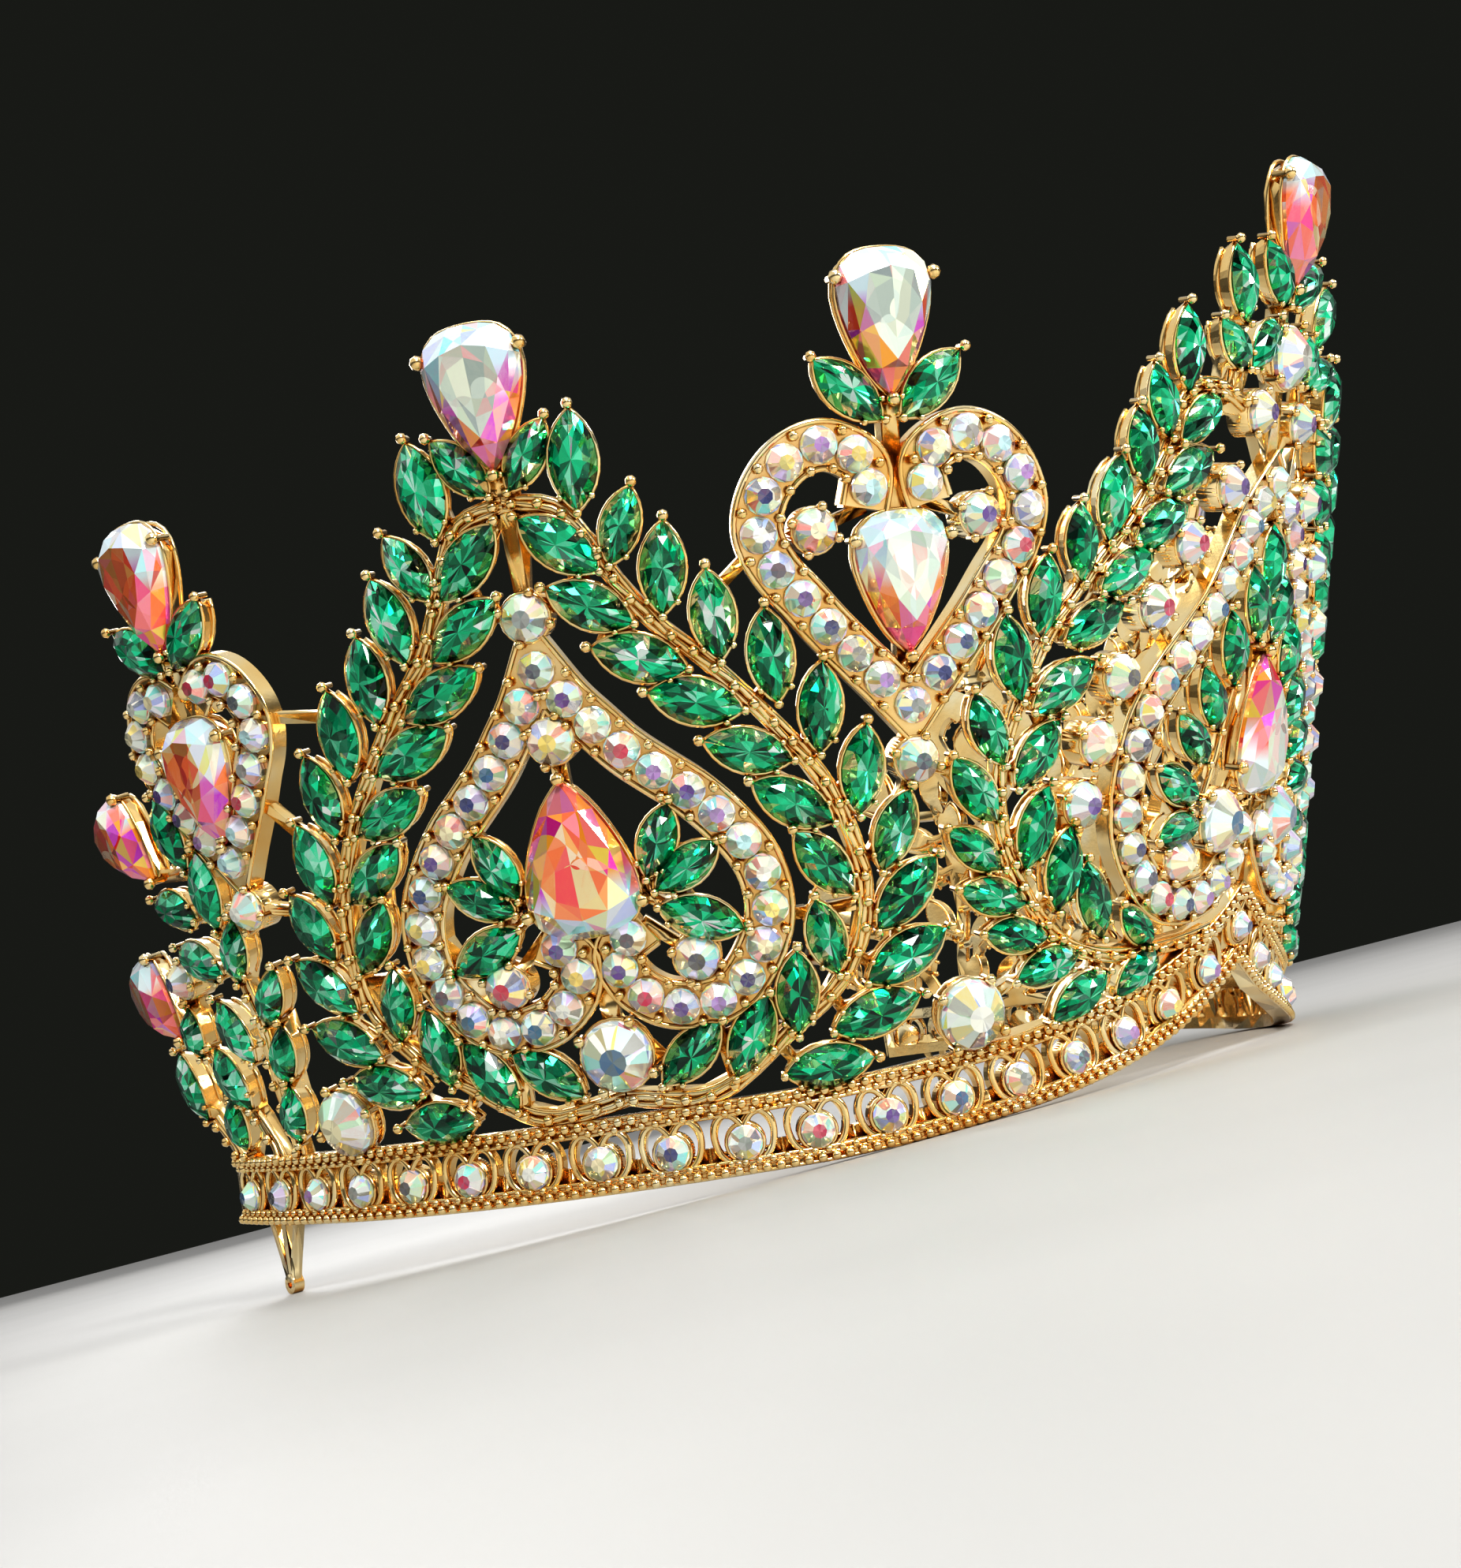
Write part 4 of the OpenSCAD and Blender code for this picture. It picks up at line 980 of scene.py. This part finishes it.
# Stems of two wires with a wrap and a row of beads, and a wire for each fan.
stem_wires, stem_beads = [], []
for path in panel_stems:
    vine = eased(path)
    for off in (-STEM_GAP, STEM_GAP):
        stem_wires.append(([on_wall(*p, -0.6) for p in beside(vine, off)], False))
    wrap = []
    for i in range(len(vine)):
        turn = i * WRAP_TURN
        place = beside(vine, WRAP_REACH * math.sin(turn))[i]
        wrap.append(on_wall(*place, -0.3 + WRAP_RISE * math.cos(turn)))
    stem_wires.append((wrap, False))
    stem_beads.append(([on_wall(*p, 0.32) for p in vine[1:-1]], False))
for path in fans:
    stem_wires.append(([on_wall(*p, -0.8) for p in eased(path)], False))


def strip_edge(way, off, at, meet):
    """One edge of a strip, cut off at or carried on to the centre line where two strips meet."""
    edge = beside(way, off)[::1 if meet == 0 else -1]
    side = math.copysign(1, edge[len(edge) // 2][0] - at)
    while side * (edge[0][0] - at) < 0.3:
        edge.pop(0)
    (x, y), (next_x, next_y) = edge[:2]
    edge.insert(0, (at, y + (at - x) * (next_y - y) / (next_x - x)))
    run = np.cumsum([0] + [wall_step(one, next_one).length for one, next_one in zip(edge, edge[1:])])
    even = np.linspace(0, run[-1], len(way))
    return list(zip(*(np.interp(even, run, [p[k] for p in edge]) for k in (0, 1))))


def gold_piece(name, bm, crease):
    """Keeps a bmesh as a gold piece of the crown, smooth but for edges sharper than the crease."""
    mesh = bpy.data.meshes.new(name)
    bm.to_mesh(mesh)
    bm.free()
    mesh.shade_smooth()
    mesh.set_sharp_from_angle(angle=math.radians(crease))
    mesh.materials.clear()
    mesh.materials.append(gold)
    piece = add_object(name, mesh)
    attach(piece, "root")
    return piece


# The strips' plates, each closed at its far end and welded to the other where two meet.
edge_wires, seams, plates = [], [], bmesh.new()
for path, at, (start, end, meet) in strips:
    way = eased(path, 6)
    for off in (-PLATE_W / 2 + EDGE_IN, PLATE_W / 2 - EDGE_IN):
        edge_wires.append(([on_wall(*p, 0.0) for p in strip_edge(way, off, at, meet)], False))
    rings = []
    for left, right in zip(*(strip_edge(way, off, at, meet) for off in (PLATE_W / 2, -PLATE_W / 2))):
        corners = ((left, PLATE_FACE), (left, -PLATE_D), (right, -PLATE_D), (right, PLATE_FACE))
        rings.append([plates.verts.new(on_wall(*p, out)) for p, out in corners])
    for one, next_one in zip(rings, rings[1:]):
        for k in range(4):
            n = (k + 1) % 4
            plates.faces.new((one[k], one[n], next_one[n], next_one[k]))
    plates.faces.new(rings[-1])
    seams += rings[0]
bmesh.ops.remove_doubles(plates, verts=seams, dist=0.4 * MM)
bmesh.ops.recalc_face_normals(plates, faces=plates.faces)
gold_piece("strip_plates", plates, 40)


def grow_wires(name, paths, radius, sides):
    grow(name, path_mesh(paths), round_wire,
         {"Wire radius": radius * MM, "Sides": sides, "Finish": gold})


def grow_beads(name, paths, pitch, size):
    grow(name, path_mesh(paths), bead_row,
         {"Pitch": pitch * MM, "Bead size": size * MM, "Bead": bead, "Finish": gold})


grow_wires("stone_rims", rim_paths, 0.26, 6)
grow_wires("cup_feet", foot_paths, 0.34, 5)
grow_wires("band_loops", band_hearts, 0.48, 7)
grow_wires("band_wires", band_wires, 0.28, 5)
grow_wires("stem_wires", stem_wires, 0.5, 7)
grow_beads("stem_beads", stem_beads, 3.3, 1.5)
grow_wires("strip_edges", edge_wires, 0.4, 6)
grow_beads("rail_beads", rail_rows, 1.8, 1.4)
grow_beads("rail_small_beads", small_rail_rows, 1.8, 1.05)
grow("claws", place_mesh(claw_places, 3), set_claws, {"Piece": claw, "Finish": gold})


def set_field(name, places, cut, finish, seed, hues=None):
    """One piece of cut stones set at their places."""
    return grow(name, place_mesh(places, seed, hues), set_stones, {"Piece": cut, "Finish": finish})


for node, places in leaf_places.items():
    leaves = set_field(node + "_cut", places, navette_cut, green_glass, len(node))
    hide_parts(node)

drop_hues, round_hues = [], []
for k, (node, seat, size) in enumerate(pear_places):
    first = 0.0 if node.startswith(WARM_DROPS) else 0.5
    drop_hues.append(first + 0.5 * ((k * DROP_STEP) % 1))
for k, (node, seat, size) in enumerate(round_places):
    hue = next(hue for start, hue in ROUND_HUES.items() if node.startswith(start))
    round_hues.append(hue + ROUND_STEP * k)
for name, places, cut, finish, hues in (
        ("drops_cut", pear_places, pear_cut, drop_crystal, drop_hues),
        ("rounds_cut", round_places, round_cut, round_crystal, round_hues)):
    stones = set_field(name, [p[1:] for p in places], cut, finish, 7, hues)
    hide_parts(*[p[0] for p in places])
set_field("strip_stones", strip_stones, chaton_cut, small_crystal, 11)
set_field("middle_stones", middle_places, round_cut, small_crystal, 13)
set_field("band_stones", band_stones, chaton_cut, small_crystal, 17)
for piece in (navette_cut, pear_cut, round_cut, chaton_cut, bead, claw):
    bpy.data.objects.remove(piece)

# The soldered frame: the CAD shape with its doubles merged, so that its round walls shade smooth.
solder = bmesh.new()
solder.from_mesh(frame["nodes"]["frame"].data)
bmesh.ops.remove_doubles(solder, verts=solder.verts, dist=1e-7)
solder.verts.ensure_lookup_table()
corners = np.array([v.co[:] for v in solder.verts])
moved = np.zeros(len(corners), bool)
for seat, size, narrow, square in cup_seats:
    back = np.array(seat.inverted())
    local = (corners @ back[:3, :3].T + back[:3, 3]) / MM
    reach = (np.abs(local[:, 0] / (size[0] / 2 + CUP_SIDE)) ** square
             + np.abs(local[:, 1] / (size[1] / 2 + CUP_TIP)) ** square)
    foot = (reach < 1) & (local[:, 2] > CUP_FOOT[0]) & (local[:, 2] < CUP_FOOT[1]) & ~moved
    for i in np.flatnonzero(foot):
        x, y, z = local[i]
        solder.verts[i].co = seat @ (Vector((x * narrow, y * narrow, z + CUP_LIFT)) * MM)
    moved |= foot
body = gold_piece("soldered_frame", solder, 32)
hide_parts("frame")


# Portrait

def plain_finish(name, colour, rough):
    finish, tree, skin = new_finish(name)
    pale = tuple(c * 0.93 for c in colour)
    tone = ramp(tree, object_noise(tree, 14, 4), [(0.3, pale), (0.7, colour)])
    tree.links.new(tone, skin.inputs["Base Color"])
    skin.inputs["Roughness"].default_value = rough
    return finish


floor_mesh = bpy.data.meshes.new("floor")
floor_mesh.from_pydata([(-2, -2, 0), (2, -2, 0), (2, 2, 0), (-2, 2, 0)], [], [(0, 1, 2, 3)])
floor_mesh.materials.append(plain_finish("pale_floor", (0.31, 0.305, 0.295), 0.55))
floor = add_object("floor", floor_mesh)


def soft_light(name, at, aim_up, wide, power):
    """Square lamp in metres and watts that looks at a height on the crown's axis."""
    lamp = bpy.data.lights.new(name, "AREA")
    lamp.shape = "SQUARE"
    lamp.size = wide
    lamp.energy = power
    holder = add_object(name, lamp)
    holder.location = at
    holder.rotation_euler = (Vector((0, 0, aim_up)) - Vector(at)).to_track_quat("-Z", "Y").to_euler()


soft_light("key_light", (-0.42, -0.6, 0.6), 0.06, 0.18, 8.8)
soft_light("front_light", (0.25, -0.9, 0.45), 0.06, 0.18, 6)
soft_light("top_light", (-0.1, -0.2, 0.85), 0.05, 0.5, 4)
soft_light("back_light", (0.5, 0.7, 0.5), 0.06, 0.4, 3)

# The studio round the crown, by height. The camera sees a plain dark wall in its place.
world = bpy.data.worlds.new("studio")
bpy.context.scene.world = world
world.use_nodes = True
sky = world.node_tree
sky.nodes.clear()
where = sky.nodes.new("ShaderNodeTexCoord")
apart = sky.nodes.new("ShaderNodeSeparateXYZ")
sky.links.new(where.outputs["Generated"], apart.inputs[0])
height = math_node(sky, "MULTIPLY_ADD", apart.outputs["Z"], 0.5, 0.5)
around = ramp(sky, height, [
    (0.4, (0.3, 0.29, 0.27)), (0.5, (0.05, 0.05, 0.05)), (0.64, (0.1, 0.1, 0.1)),
    (0.76, (0.7, 0.7, 0.7)), (1.0, (0.6, 0.6, 0.6))])
camera_ray = sky.nodes.new("ShaderNodeLightPath").outputs["Is Camera Ray"]
glow = sky.nodes.new("ShaderNodeBackground")
sky.links.new(blend_colours(sky, camera_ray, around, (0.014, 0.015, 0.0125)), glow.inputs["Color"])
out = sky.nodes.new("ShaderNodeOutputWorld")
sky.links.new(glow.outputs[0], out.inputs[0])

# The camera keeps its place and angle to the crown, and turns with it as the crown comes to rest.
EYE = Vector((-264.0, -209.73, 23.94))
AHEAD = Vector((0.78925, 0.60755, 0.08922))
RIGHT = Vector((0.61349, -0.77384, -0.1575))
DOWN = Vector((-0.02665, 0.17905, -0.98348))
FOCAL_PX, FRAME_PX, SENSOR_W = 2391.9, 1852, 36
lens = bpy.data.cameras.new("portrait")
lens.sensor_width = SENSOR_W
lens.sensor_fit = "HORIZONTAL"
lens.lens = FOCAL_PX / FRAME_PX * SENSOR_W
lens.clip_start = 0.01
camera = add_object("portrait", lens)
turn = Matrix.Rotation(TILT, 4, "X") @ Matrix((RIGHT, -DOWN, -AHEAD)).transposed().to_4x4()
camera.matrix_world = Matrix.Translation(REST @ EYE) @ turn
bpy.context.scene.camera = camera
bpy.context.scene.view_settings.view_transform = "Standard"
bpy.context.scene.view_settings.look = "Medium High Contrast"
